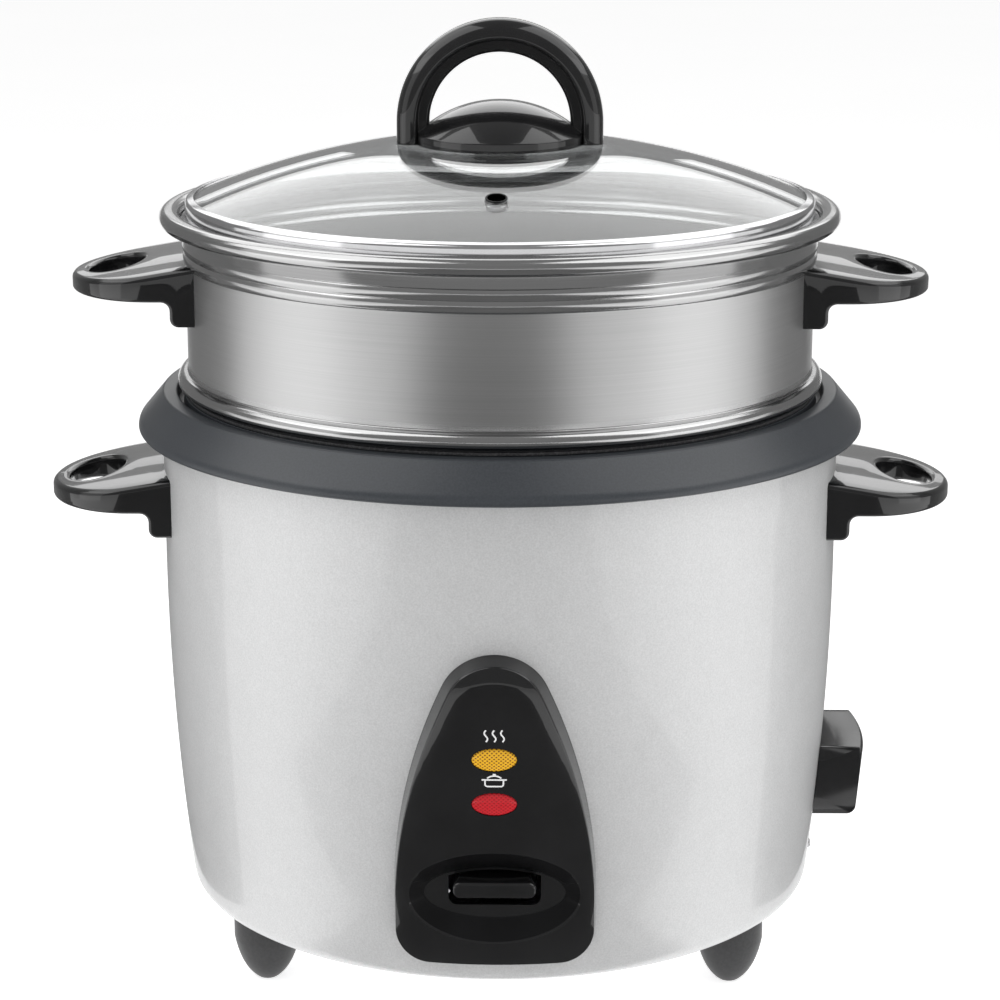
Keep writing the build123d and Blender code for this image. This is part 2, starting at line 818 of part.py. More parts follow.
# Power inlet: a box on the right wall with a socket, its neck goes through the drum
with BuildPart() as inlet_housing:
    with BuildSketch(Plane.YZ.offset(drum_radius/2)):
        with Locations((0, inlet_middle)):
            Rectangle(2*inlet_half_width, inlet_top - inlet_bottom)
    extrude(amount=drum_radius)
    with BuildSketch(Plane.XZ) as limit:
        with BuildLine():
            Polyline(
                (0, inlet_bottom),
                (inlet_reach_bottom, inlet_bottom),
                (inlet_reach_top, inlet_top),
                (0, inlet_top),
                close=True,
            )
        make_face()
        fillet(limit.vertices().sort_by_distance((inlet_reach_bottom, inlet_bottom, 0))[0], inlet_corner)
        fillet(limit.vertices().sort_by_distance((inlet_reach_top, inlet_top, 0))[0], inlet_edge)
    revolve(axis=Axis.Z, mode=Mode.INTERSECT)
    add(drum_seat, mode=Mode.SUBTRACT)
    with BuildSketch(Plane.YZ.offset(inlet_neck_end)):
        with Locations((0, inlet_middle)):
            Rectangle(2*neck_half_width, 2*neck_half_height)
    extrude(amount=drum_radius + inlet_neck_wall - inlet_neck_end)
    with BuildSketch(Plane.YZ.offset(inlet_reach_top - socket_depth)):
        with Locations((0, inlet_middle)):
            Rectangle(socket_width, socket_height)
    extrude(amount=2*socket_depth, mode=Mode.SUBTRACT)
    with BuildSketch(Plane.YZ.offset(drum_radius/2)):
        with Locations((0, inlet_middle)):
            with Locations((0, pin_stagger), (-pin_spread, -pin_stagger/2), (pin_spread, -pin_stagger/2)):
                Rectangle(pin_width + 2*pin_clearance, pin_height + 2*pin_clearance)
    extrude(amount=drum_radius, mode=Mode.SUBTRACT)
    with BuildSketch(Plane.YZ.offset(drum_radius/2)):
        with Locations((0, inlet_middle)):
            with GridLocations(2*inlet_screw_place, 0, 2, 1):
                Circle(screw_radius + pin_clearance)
    extrude(amount=drum_radius/2 + 2*inlet_screw_bite, mode=Mode.SUBTRACT)
finish(inlet_housing, "inlet_housing")

with BuildPart() as inlet_pins:
    with BuildSketch(Plane.YZ.offset(inlet_neck_end - pin_tail)):
        with Locations((0, inlet_middle)):
            with Locations((0, pin_stagger), (-pin_spread, -pin_stagger/2), (pin_spread, -pin_stagger/2)):
                Rectangle(pin_width, pin_height)
    extrude(amount=inlet_reach_top - pin_recess - inlet_neck_end + pin_tail)
finish(inlet_pins, "inlet_pins")

with BuildPart() as inlet_screws:
    inlet_wall = drum_radius_at(inlet_middle - screw_head_radius) - drum_sheet
    head_face = wall_depth(inlet_wall, inlet_screw_place + screw_head_radius) - seat_gap
    for plane_shift, radius, length in (
        (head_face, screw_head_radius, -screw_head_height),
        (head_face, screw_radius, drum_radius + inlet_screw_bite - head_face),
    ):
        with BuildSketch(Plane.YZ.offset(plane_shift)):
            with Locations((0, inlet_middle)):
                with GridLocations(2*inlet_screw_place, 0, 2, 1):
                    Circle(radius)
        extrude(amount=length)
finish(inlet_screws, "inlet_screws")

# Earth rivet low on the right wall
with BuildPart() as earth_rivet:
    rivet_wall = drum_radius_at(rivet_height) + seat_gap
    with BuildSketch(Plane.YZ.offset(rivet_wall + rivet_stand)):
        with Locations((0, rivet_height)):
            Circle(rivet_radius)
    extrude(amount=rivet_head)
    fillet(earth_rivet.faces().sort_by(Axis.X)[-1].edges(), rivet_edge)
    with BuildSketch(Plane.YZ.offset(rivet_wall + rivet_stand)):
        with Locations((0, rivet_height)):
            Circle(rivet_shank)
    extrude(amount=-2*drum_sheet - rivet_head)
finish(earth_rivet, "earth_rivet")

# Inner pot: a drawn cup with a flat rim that hangs on the collar's seat
with BuildPart() as inner_pot:
    with BuildSketch(Plane.XZ):
        with BuildLine():
            Line((0, pot_bottom), (pot_radius - pot_corner, pot_bottom))
            RadiusArc(
                (pot_radius - pot_corner, pot_bottom),
                (pot_radius, pot_bottom + pot_corner),
                -pot_corner,
            )
            Polyline(
                (pot_radius, pot_bottom + pot_corner),
                (pot_radius, pot_rim_bottom),
                (pot_rim_radius, pot_rim_bottom),
                (pot_rim_radius, pot_rim_top),
                (pot_radius - pot_wall, pot_rim_top),
                (pot_radius - pot_wall, pot_bottom + pot_corner),
            )
            RadiusArc(
                (pot_radius - pot_wall, pot_bottom + pot_corner),
                (pot_radius - pot_corner, pot_bottom + pot_wall),
                pot_corner - pot_wall,
            )
            Polyline(
                (pot_radius - pot_corner, pot_bottom + pot_wall),
                (0, pot_bottom + pot_wall),
                (0, pot_bottom),
            )
        make_face()
    revolve(axis=Axis.Z)
finish(inner_pot, "inner_pot")

# Steamer tray: the inside line of one pressed sheet, from the holed floor to the rolled hem
inside_wall = steamer_wall_radius - steamer_sheet
inside_neck = neck_radius - steamer_sheet
inside_tray = tray_radius - steamer_sheet
floor_line = tray_floor + steamer_sheet
landing_line = tray_landing + steamer_sheet
bead_inner = bead_radius - steamer_sheet
bead_centre = bead_reach - bead_radius
bead_top = landing_line + 2*bead_inner
bead_blend = bead_centre - inside_wall
hem_bottom = hem_top - 2*hem_radius
ridge_foot = wall_top + ridge_height
with BuildPart() as steamer_tray:
    with BuildSketch(Plane.XZ):
        with BuildLine():
            Line((0, floor_line), (inside_tray - tray_corner, floor_line))
            RadiusArc(
                (inside_tray - tray_corner, floor_line),
                (inside_tray, floor_line + tray_corner),
                -tray_corner,
            )
            Polyline(
                (inside_tray, floor_line + tray_corner),
                (inside_tray, landing_line),
                (bead_centre, landing_line),
            )
            ThreePointArc(
                (bead_centre, landing_line),
                (bead_centre + bead_inner, landing_line + bead_inner),
                (bead_centre, bead_top),
            )
            RadiusArc((bead_centre, bead_top), (inside_wall, bead_top + bead_blend), bead_blend)
            Line((inside_wall, bead_top + bead_blend), (inside_wall, wall_top))
            ThreePointArc(
                (inside_wall, wall_top),
                (inside_wall + ridge_reach, wall_top + ridge_height/2),
                (inside_wall + groove_reach, ridge_foot),
            )
            ThreePointArc(
                (inside_wall + groove_reach, ridge_foot),
                (inside_wall + ridge_reach + groove_reach, ridge_foot + ridge_height/2),
                (inside_neck, neck_bottom),
            )
            Polyline(
                (inside_neck, neck_bottom),
                (inside_neck, ledge_height),
                (ledge_radius, ledge_height),
                (ledge_radius, hem_top - hem_inner_radius),
            )
            RadiusArc(
                (ledge_radius, hem_top - hem_inner_radius),
                (ledge_radius + hem_inner_radius, hem_top),
                hem_inner_radius,
            )
            Line((ledge_radius + hem_inner_radius, hem_top), (hem_reach - hem_radius, hem_top))
            ThreePointArc(
                (hem_reach - hem_radius, hem_top),
                (hem_reach, hem_top - hem_radius),
                (hem_reach - hem_radius, hem_bottom),
            )
            Line((hem_reach - hem_radius, hem_bottom), (ledge_radius + steamer_sheet + hem_tip, hem_bottom))
            offset(amount=steamer_sheet, side=Side.RIGHT)
        make_face()
    revolve(axis=Axis.Z)
    with BuildSketch(Plane.XY.offset(tray_floor)):
        for ring in range(1, tray_hole_rings + 1):
            with PolarLocations(ring*tray_hole_spacing, 6*ring):
                Circle(tray_hole_radius)
    extrude(amount=2*steamer_sheet, both=True, mode=Mode.SUBTRACT)
    with BuildSketch(Plane.YZ):
        with Locations((0, steamer_handle_level - handle_screw_drop)):
            with GridLocations(2*handle_screw_spread, 0, 2, 1):
                Circle(screw_radius + hole_clearance)
    extrude(amount=2*steamer_wall_radius, both=True, mode=Mode.SUBTRACT)
finish(steamer_tray, "steamer_tray")

# Lid glass with its screw hole and vent hole
vent_height = dome_height(vent_place, glass_radius)
vent_plane = Plane(
    origin=(0, -vent_place, vent_height),
    x_dir=(1, 0, 0),
    z_dir=(0, -vent_place, vent_height - dome_centre),
)
lid_glass_face = glass_face(glass_edge, 0)
rim_slot_face = glass_face(glass_edge + pin_clearance, pin_clearance)
with BuildPart() as lid_glass:
    with BuildSketch(Plane.XZ):
        add(lid_glass_face)
    revolve(axis=Axis.Z)
    with BuildSketch(Plane.XY.offset(glass_top)):
        Circle(knob_screw_radius + hole_clearance)
    extrude(amount=-2*glass_thickness, both=True, mode=Mode.SUBTRACT)
    with BuildSketch(vent_plane):
        Circle(vent_bore + vent_wall + pin_clearance)
    extrude(amount=-2*glass_thickness, both=True, mode=Mode.SUBTRACT)
finish(lid_glass, "lid_glass")

# Lid rim: a steel channel rolled round the glass edge, with a flange that lies on the steamer's ledge
rim_bottom = ledge_height + rest_gap
grip_top_radius = glass_edge - rim_grip_top
grip_bottom_radius = glass_edge - rim_grip_bottom
glass_inner = glass_radius - glass_thickness
grip_bottom = dome_height(rim_radius - rim_wall, glass_inner) - rim_lip
with BuildPart() as lid_rim:
    with BuildSketch(Plane.XZ) as outline:
        with BuildLine():
            Polyline(
                (rim_flange_radius, rim_bottom),
                (rim_flange_radius, rim_bottom + rim_flange),
                (rim_radius, rim_bottom + 2*rim_flange),
                (rim_radius, dome_height(rim_radius, glass_radius)),
                (glass_edge, dome_height(glass_edge, glass_radius) + rim_lip),
                (grip_top_radius, dome_height(grip_top_radius, glass_radius) + rim_lip),
                (grip_top_radius, dome_height(grip_top_radius, glass_inner)),
                (grip_bottom_radius, dome_height(grip_bottom_radius, glass_inner)),
                (grip_bottom_radius, grip_bottom),
                (rim_radius - rim_wall, grip_bottom),
                (rim_radius - rim_wall, rim_bottom),
                close=True,
            )
        make_face()
        add(rim_slot_face, mode=Mode.SUBTRACT)
    revolve(axis=Axis.Z)
finish(lid_rim, "lid_rim")

# Steam vent: an eyelet clamped in the glass, square to its surface
vent_tube = vent_bore + vent_wall
with BuildPart() as steam_vent:
    with BuildSketch(vent_plane.offset(seat_gap)):
        Circle(vent_tube + vent_flange)
    extrude(amount=vent_flange_height)
    with BuildSketch(vent_plane.offset(seat_gap)):
        Circle(vent_tube)
    extrude(amount=-glass_thickness - 2*seat_gap)
    with BuildSketch(vent_plane.offset(-glass_thickness - seat_gap)):
        Circle(vent_tube + vent_flange)
    extrude(amount=-vent_flange_height)
    with BuildSketch(vent_plane):
        Circle(vent_bore)
    extrude(amount=2*glass_thickness, both=True, mode=Mode.SUBTRACT)
finish(steam_vent, "steam_vent")

# Lid knob: a domed base with a half-ring grip standing over it, on the flat middle of the glass
knob_foot = glass_top + seat_gap
base_edge = knob_foot + knob_base_rim
knob_dome_radius = (knob_base_radius**2 + knob_dome_rise**2)/(2*knob_dome_rise)
band_inner_radius = arch_radius - arch_band


def arch_face(outer, inner):
    """Half ring on two straight legs, seen from the front."""
    with BuildSketch() as face:
        with BuildLine():
            Line((-outer, knob_foot), (-outer, arch_centre))
            ThreePointArc((-outer, arch_centre), (0, arch_centre + outer), (outer, arch_centre))
            Polyline((outer, arch_centre), (outer, knob_foot), (inner, knob_foot), (inner, arch_centre))
            ThreePointArc((inner, arch_centre), (0, arch_centre + inner), (-inner, arch_centre))
            Polyline((-inner, arch_centre), (-inner, knob_foot), (-outer, knob_foot))
        make_face()
    return face.sketch


arch_band_face = arch_face(arch_radius, band_inner_radius)
arch_web_face = arch_face(band_inner_radius + arch_edge, arch_hole_radius)
with BuildPart() as arch_band_bar:
    with BuildSketch(Plane.XZ):
        add(arch_band_face)
    extrude(amount=arch_half_depth, both=True)
    rounded = arch_band_bar.faces().filter_by(Axis.Y).edges().filter_by(
        lambda edge: edge.center().Z > knob_foot + rest_gap
    )
    fillet(rounded, arch_edge)
with BuildPart() as arch_web_bar:
    with BuildSketch(Plane.XZ):
        add(arch_web_face)
    extrude(amount=web_half_depth, both=True)
    hole_edges = arch_web_bar.faces().filter_by(Axis.Y).edges().filter_by(
        lambda edge: edge.center().Z > knob_foot + rest_gap
        and max(abs(vertex.X) for vertex in edge.vertices()) < arch_hole_radius + rest_gap
    )
    fillet(hole_edges, web_edge)
with BuildPart() as lid_knob:
    with BuildSketch(Plane.XZ):
        with BuildLine():
            Polyline((0, base_edge + knob_dome_rise), (0, knob_foot), (knob_base_radius, knob_foot),
                     (knob_base_radius, base_edge))
            RadiusArc((knob_base_radius, base_edge), (0, base_edge + knob_dome_rise), -knob_dome_radius)
        make_face()
    revolve(axis=Axis.Z)
    add(arch_band_bar.part)
    add(arch_web_bar.part)
    with BuildSketch(Plane.XY.offset(knob_foot)):
        Circle(knob_screw_radius + pin_clearance)
    extrude(amount=glass_top + knob_screw_depth - knob_foot - rest_gap, mode=Mode.SUBTRACT)
finish(lid_knob, "lid_knob")

# Knob screw from below, with a steel washer on a soft gasket under the glass
glass_underside = glass_top - glass_thickness
gasket_bottom = glass_underside - gasket_height
washer_bottom = gasket_bottom - washer_sheet
with BuildPart() as knob_gasket:
    with BuildSketch(Plane.XY.offset(gasket_bottom)):
        Circle(gasket_radius)
        Circle(knob_screw_radius + hole_clearance, mode=Mode.SUBTRACT)
    extrude(amount=gasket_height - seat_gap/2)
finish(knob_gasket, "knob_gasket")

with BuildPart() as knob_washer:
    with BuildSketch(Plane.XY.offset(washer_bottom)):
        Circle(washer_radius)
        Circle(knob_screw_radius + hole_clearance, mode=Mode.SUBTRACT)
    extrude(amount=washer_sheet)
finish(knob_washer, "knob_washer")

with BuildPart() as knob_screw:
    with BuildSketch(Plane.XY.offset(washer_bottom)):
        Circle(knob_screw_head)
    extrude(amount=-screw_head_height)
    fillet(knob_screw.faces().sort_by(Axis.Z)[0].edges(), screw_head_height/2)
    with BuildSketch(Plane.XY.offset(washer_bottom)):
        Circle(knob_screw_radius)
    extrude(amount=glass_top + knob_screw_depth - 2*rest_gap - washer_bottom)
finish(knob_screw, "knob_screw")

# Liner: the sheet cup round the pot, clamped between the heat plate and its spacers
liner_top = collar_roof - rest_gap
liner_inside = liner_radius - liner_sheet
with BuildPart() as liner:
    with BuildSketch(Plane.XZ):
        with BuildLine():
            Line((liner_hole, liner_floor), (liner_radius - liner_corner, liner_floor))
            RadiusArc(
                (liner_radius - liner_corner, liner_floor),
                (liner_radius, liner_floor + liner_corner),
                -liner_corner,
            )
            Polyline(
                (liner_radius, liner_floor + liner_corner),
                (liner_radius, liner_top),
                (liner_inside, liner_top),
                (liner_inside, liner_floor + liner_corner),
            )
            RadiusArc(
                (liner_inside, liner_floor + liner_corner),
                (liner_radius - liner_corner, liner_floor + liner_sheet),
                liner_corner - liner_sheet,
            )
            Polyline(
                (liner_radius - liner_corner, liner_floor + liner_sheet),
                (liner_hole, liner_floor + liner_sheet),
                (liner_hole, liner_floor),
            )
        make_face()
    revolve(axis=Axis.Z)
    with BuildSketch(Plane.XY.offset(liner_floor)):
        with PolarLocations(spacer_circle_radius, 3, start_angle=90):
            Circle(screw_radius + hole_clearance)
    extrude(amount=liner_sheet, mode=Mode.SUBTRACT)
finish(liner, "liner")

# Heat plate: a cast disc with the ring of its element underneath
with BuildPart() as heat_plate:
    with BuildSketch(Plane.XY.offset(plate_bottom)):
        Circle(plate_radius)
    extrude(amount=plate_height)
    with BuildSketch(Plane.XZ):
        with Locations((element_circle_radius, plate_bottom)):
            Circle(element_radius)
    revolve(axis=Axis.Z)
    with BuildSketch(Plane.XY.offset(plate_bottom)):
        Circle(plate_hole)
    extrude(amount=plate_height, mode=Mode.SUBTRACT)
    with BuildSketch(Plane.XY.offset(plate_bottom)):
        with PolarLocations(spacer_circle_radius, 3, start_angle=90):
            Circle(screw_radius + pin_clearance)
    extrude(amount=plate_screw_bite, mode=Mode.SUBTRACT)
    with BuildSketch(Plane.XY.offset(plate_bottom)):
        with PolarLocations(element_circle_radius, 2, -terminal_angle, 4*terminal_angle):
            Circle(terminal_radius + pin_clearance)
    extrude(amount=-2*element_radius, mode=Mode.SUBTRACT)
finish(heat_plate, "heat_plate")

with BuildPart() as element_terminals:
    with BuildSketch(Plane.XY.offset(plate_bottom - rest_gap)):
        with PolarLocations(element_circle_radius, 2, -terminal_angle, 4*terminal_angle):
            Circle(terminal_radius)
    extrude(amount=-terminal_length)
finish(element_terminals, "element_terminals")

# Spacers between base and liner, and the screws through them into the plate
with BuildPart() as plate_spacers:
    with BuildSketch(Plane.XY.offset(base_top)):
        with PolarLocations(spacer_circle_radius, 3, start_angle=90):
            Circle(spacer_radius)
            Circle(screw_radius + hole_clearance, mode=Mode.SUBTRACT)
    extrude(amount=liner_floor - base_top)
finish(plate_spacers, "plate_spacers")

with BuildPart() as plate_screws:
    with BuildSketch(Plane.XY.offset(base_top + rest_gap)):
        with PolarLocations(spacer_circle_radius, 3, start_angle=90):
            Circle(screw_radius)
    extrude(amount=plate_bottom + plate_screw_bite - base_top - 2*rest_gap)
finish(plate_screws, "plate_screws")

# Keep-warm heater, a band round the liner
with BuildPart() as warm_band:
    with BuildSketch(Plane.XY.offset(warm_band_bottom)):
        Circle(liner_radius + seat_gap + warm_band_wall)
        Circle(liner_radius + seat_gap, mode=Mode.SUBTRACT)
    extrude(amount=warm_band_height)
finish(warm_band, "warm_band")

# Thermal fuse under the heat plate
with BuildPart() as thermal_fuse:
    with BuildSketch(Plane.YZ.offset(-fuse_left)):
        with Locations((fuse_back, plate_bottom - fuse_radius - seat_gap)):
            Circle(fuse_radius)
    extrude(amount=fuse_length/2, both=True)
finish(thermal_fuse, "thermal_fuse")

# Thermostat: tube under the plate, sprung sensor cap with its ferrite, magnet on a rod
with BuildPart() as thermostat_tube:
    with BuildSketch(Plane.XY.offset(tube_bottom)):
        Circle(tube_inner_radius + tube_wall)
    extrude(amount=plate_bottom - rest_gap - tube_bottom)
    with BuildSketch(Plane.XY.offset(plate_bottom - rest_gap)):
        Circle(tube_flange_radius)
    extrude(amount=-tube_floor)
    with BuildSketch(Plane.XY.offset(tube_bottom + tube_floor)):
        Circle(tube_inner_radius)
    extrude(amount=plate_bottom - tube_bottom, mode=Mode.SUBTRACT)
    with BuildSketch(Plane.XY.offset(tube_bottom)):
        Circle(rod_radius + 2*fork_clearance)
    extrude(amount=tube_floor, mode=Mode.SUBTRACT)
finish(thermostat_tube, "thermostat_tube")

with BuildPart() as sensor_cap:
    with BuildSketch(Plane.XY.offset(sensor_top)):
        Circle(sensor_radius)
    extrude(amount=-sensor_roof)
    with BuildSketch(Plane.XY.offset(sensor_skirt_bottom)):
        Circle(sensor_skirt_radius)
        Circle(sensor_skirt_radius - sensor_skirt_wall, mode=Mode.SUBTRACT)
    extrude(amount=sensor_top - sensor_roof - sensor_skirt_bottom)
finish(sensor_cap, "sensor_cap")

with BuildPart() as ferrite:
    with BuildSketch(Plane.XY.offset(ferrite_bottom)):
        Circle(ferrite_radius)
    extrude(amount=ferrite_height)
finish(ferrite, "ferrite")

with BuildPart() as magnet:
    with BuildSketch(Plane.XY.offset(magnet_bottom)):
        Circle(ferrite_radius)
    extrude(amount=magnet_height)
finish(magnet, "magnet")

with BuildPart() as magnet_rod:
    with BuildSketch(Plane.XY.offset(rod_bottom)):
        Circle(rod_radius)
    extrude(amount=magnet_bottom - rod_bottom)
    with BuildSketch(Plane.XY.offset(arm_top + plunger_gap)):
        Circle(collar_disc_radius)
    extrude(amount=collar_disc_height)
    with BuildSketch(Plane.XY.offset(arm_bottom - plunger_gap)):
        Circle(collar_disc_radius)
    extrude(amount=-collar_disc_height)
finish(magnet_rod, "magnet_rod")


def coil_spring(radius, wire, bottom, top, turns):
    """Round-wire coil between two heights."""
    height = top - bottom - 2*wire - 2*spring_end_gap
    start = bottom + wire + spring_end_gap
    with BuildPart() as spring:
        with BuildLine():
            coil = Helix(pitch=height/turns, height=height, radius=radius, center=(0, 0, start))
        with BuildSketch(coil ^ 0):
            Circle(wire)
        sweep(path=coil)
    return spring


sensor_coil_radius = (ferrite_radius + tube_inner_radius)/2
finish(
    coil_spring(sensor_coil_radius, sensor_wire, tube_bottom + tube_floor, sensor_skirt_bottom, sensor_turns),
    "sensor_spring",
)
finish(
    coil_spring(release_coil_radius, release_wire, magnet_top, ferrite_bottom, release_turns),
    "release_spring",
)

# Cook lever: finger key, stem through the panel's slot, leg and arm to the magnet's rod
lug_width = 2*arm_half_width
with BuildPart() as cook_lever:
    with BuildSketch(Plane.XZ.offset(key_back)):
        with Locations((0, key_middle)):
            RectangleRounded(key_width, key_height, key_corner)
    extrude(amount=key_front - key_back)
    fillet(cook_lever.faces().sort_by(Axis.Y)[0].edges(), key_edge)
    with BuildSketch(Plane.YZ):
        with BuildLine():
            Polyline(
                (-key_back, key_middle - key_height/2),
                (-key_back, key_middle + key_height/2),
                (-leg_back + leg_thickness, key_middle + key_height/2),
                (-leg_back + leg_thickness, arm_top),
                (arm_end, arm_top),
                (arm_end, arm_bottom),
                (-leg_back, arm_bottom),
                (-leg_back, key_middle - key_height/2),
                close=True,
            )
        make_face()
    extrude(amount=arm_half_width, both=True)
    with BuildSketch(Plane.YZ):
        with Locations((-pivot_place, pivot_height)):
            Rectangle(2*lug_half_length, 2*lug_half_height)
    extrude(amount=arm_half_width, both=True)
    with BuildSketch(Plane.XY.offset(arm_bottom)):
        with Locations((tab_reach/2, -tab_place)):
            Rectangle(tab_reach, 2*tab_half_length)
    extrude(amount=arm_height)
    with BuildSketch(Plane.XY.offset(arm_bottom)):
        with Locations((0, arm_end/2)):
            Rectangle(2*(rod_radius + fork_clearance), arm_end + 2*(rod_radius + fork_clearance))
    extrude(amount=arm_height, mode=Mode.SUBTRACT)
    with BuildSketch(Plane.YZ):
        with Locations((-pivot_place, pivot_height)):
            Circle(pivot_radius + pin_clearance)
    extrude(amount=lug_width, both=True, mode=Mode.SUBTRACT)
finish(cook_lever, "cook_lever")

cheek_inner = arm_half_width + cheek_gap
cheek_outer = cheek_inner + cheek_wall
with BuildPart() as lever_bracket:
    with BuildSketch(Plane.XZ.offset(pivot_place)):
        with BuildLine():
            Polyline(
                (-cheek_outer - bracket_foot, base_top),
                (-cheek_outer - bracket_foot, base_top + bracket_sheet),
                (-cheek_outer, base_top + bracket_sheet),
                (-cheek_outer, pivot_height + lug_half_height),
                (-cheek_inner, pivot_height + lug_half_height),
                (-cheek_inner, base_top + bracket_sheet),
                (cheek_inner, base_top + bracket_sheet),
                (cheek_inner, pivot_height + lug_half_height),
                (cheek_outer, pivot_height + lug_half_height),
                (cheek_outer, base_top + bracket_sheet),
                (cheek_outer + bracket_foot, base_top + bracket_sheet),
                (cheek_outer + bracket_foot, base_top),
                close=True,
            )
        make_face()
    extrude(amount=cheek_half_length, both=True)
    with BuildSketch(Plane.YZ):
        with Locations((-pivot_place, pivot_height)):
            Circle(pivot_radius + pin_clearance)
    extrude(amount=2*cheek_outer, both=True, mode=Mode.SUBTRACT)
finish(lever_bracket, "lever_bracket")

with BuildPart() as pivot_pin:
    with BuildSketch(Plane.YZ):
        with Locations((-pivot_place, pivot_height)):
            Circle(pivot_radius)
    extrude(amount=cheek_outer + cheek_wall, both=True)
finish(pivot_pin, "pivot_pin")

# Switch that the lever's tab works, on its bracket beside the arm
switch_left = arm_half_width + switch_side_gap
switch_right = switch_left + switch_width
plunger_x = (switch_left + tab_reach)/2
plunger_bottom = arm_top + plunger_gap
plunger_top = switch_bottom + plunger_stroke_room
with BuildPart() as switch_body:
    with BuildSketch(Plane.XY.offset(switch_bottom)):
        with Locations(((switch_left + switch_right)/2, -tab_place)):
            Rectangle(switch_width, switch_length)
    extrude(amount=switch_height)
    with BuildSketch(Plane.XY.offset(switch_bottom)):
        with Locations((plunger_x, -tab_place)):
            Circle(plunger_radius + pin_clearance)
    extrude(amount=2*plunger_stroke_room, mode=Mode.SUBTRACT)
finish(switch_body, "switch_body")

with BuildPart() as switch_plunger:
    with BuildSketch(Plane.XY.offset(plunger_bottom)):
        with Locations((plunger_x, -tab_place)):
            Circle(plunger_radius)
    extrude(amount=plunger_top - plunger_bottom)
finish(switch_plunger, "switch_plunger")

with BuildPart() as switch_bracket:
    with BuildSketch(Plane.XZ.offset(tab_place)):
        with BuildLine():
            Polyline(
                (switch_right, base_top),
                (switch_right, switch_bottom + switch_height),
                (switch_right + bracket_sheet, switch_bottom + switch_height),
                (switch_right + bracket_sheet, base_top + bracket_sheet),
                (switch_right + bracket_foot, base_top + bracket_sheet),
                (switch_right + bracket_foot, base_top),
                close=True,
            )
        make_face()
    extrude(amount=switch_length/2, both=True)
finish(switch_bracket, "switch_bracket")

# Supply wires from the inlet's pins to the element's terminals
terminal_end = plate_bottom - rest_gap - terminal_length
terminal_x = element_circle_radius*cos(radians(terminal_angle))
terminal_y = element_circle_radius*sin(radians(terminal_angle))
wire_height = inlet_middle - pin_stagger/2
wire_start = inlet_neck_end - pin_tail - rest_gap
wire_drop = terminal_end + wire_radius
with BuildPart() as supply_wires:
    for side in side_names:
        route = [
            (wire_start, side*wire_spread, wire_height),
            (wire_start - 2*wire_bend, side*wire_spread, wire_height),
            (terminal_x + 2*wire_bend, side*terminal_y, wire_drop),
            (terminal_x + terminal_radius + rest_gap, side*terminal_y, wire_drop),
        ]
        with BuildLine():
            run = FilletPolyline(*route, radius=wire_bend/2)
        with BuildSketch(run ^ 0):
            Circle(wire_radius)
        sweep(path=run)
finish(supply_wires, "supply_wires")
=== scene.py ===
from math import asin, atan2, cos, degrees, hypot, pi, radians, sin, sqrt, tan

import bmesh
import bpy
from mathutils import Matrix, Vector
from mathutils.geometry import delaunay_2d_cdt
from mathutils.kdtree import KDTree


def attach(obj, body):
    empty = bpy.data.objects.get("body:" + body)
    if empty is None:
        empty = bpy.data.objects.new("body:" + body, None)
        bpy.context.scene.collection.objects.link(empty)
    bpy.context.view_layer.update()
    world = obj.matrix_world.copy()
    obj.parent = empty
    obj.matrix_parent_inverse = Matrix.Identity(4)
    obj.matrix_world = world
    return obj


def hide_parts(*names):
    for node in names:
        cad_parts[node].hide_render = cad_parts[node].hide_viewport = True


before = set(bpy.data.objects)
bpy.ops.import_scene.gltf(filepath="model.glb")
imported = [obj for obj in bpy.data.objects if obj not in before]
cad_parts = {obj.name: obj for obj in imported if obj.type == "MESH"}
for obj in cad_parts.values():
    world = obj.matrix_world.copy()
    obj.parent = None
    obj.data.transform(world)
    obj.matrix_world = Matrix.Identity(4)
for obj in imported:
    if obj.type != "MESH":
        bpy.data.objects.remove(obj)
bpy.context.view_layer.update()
mm = 0.001

# Studio: a camera a little above the lid, a pale floor that runs out of sight, and soft boxes
# left, right, overhead, in front and behind. Dark cards give the steel its dark bands.
image_focus = 2.949
sensor_width = 36.0
camera_tilt = 14.39
camera_turn = 0.85
camera_place = (0.01535, -1.0349, 0.4302)
camera_data = bpy.data.cameras.new("camera")
camera_data.lens = image_focus * sensor_width
camera_data.sensor_width = sensor_width
camera = bpy.data.objects.new("camera", camera_data)
camera.location = camera_place
camera.rotation_euler = (radians(90 - camera_tilt), 0, radians(camera_turn))
bpy.context.scene.collection.objects.link(camera)
bpy.context.scene.camera = camera
bpy.context.scene.view_settings.view_transform = "Standard"


class Value:
    """A socket in a node tree, so that maths on its values reads as an expression."""

    def __init__(self, tree, socket):
        self.tree = tree
        self.socket = socket

    def maths(self, operation, first, second=0.0):
        return self.tree.node("ShaderNodeMath", {"operation": operation}, {0: first, 1: second})

    def __add__(self, other):
        return self.maths("ADD", self, other)

    def __sub__(self, other):
        return self.maths("SUBTRACT", self, other)

    def __mul__(self, other):
        return self.maths("MULTIPLY", self, other)

    def __truediv__(self, other):
        return self.maths("DIVIDE", self, other)

    def __pow__(self, other):
        return self.maths("POWER", self, other)

    def __rsub__(self, other):
        return self.maths("SUBTRACT", other, self)

    def __rtruediv__(self, other):
        return self.maths("DIVIDE", other, self)

    def __gt__(self, other):
        return self.maths("GREATER_THAN", self, other)

    def __lt__(self, other):
        return self.maths("LESS_THAN", self, other)

    def either(self, other):
        """The larger of two values, which for masks is one where either of them is."""
        return self.maths("MAXIMUM", self, other)

    def sine(self):
        return self.maths("SINE", self)

    def cosine(self):
        return self.maths("COSINE", self)

    def floor(self):
        return self.maths("FLOOR", self)

    __radd__ = __add__
    __rmul__ = __mul__


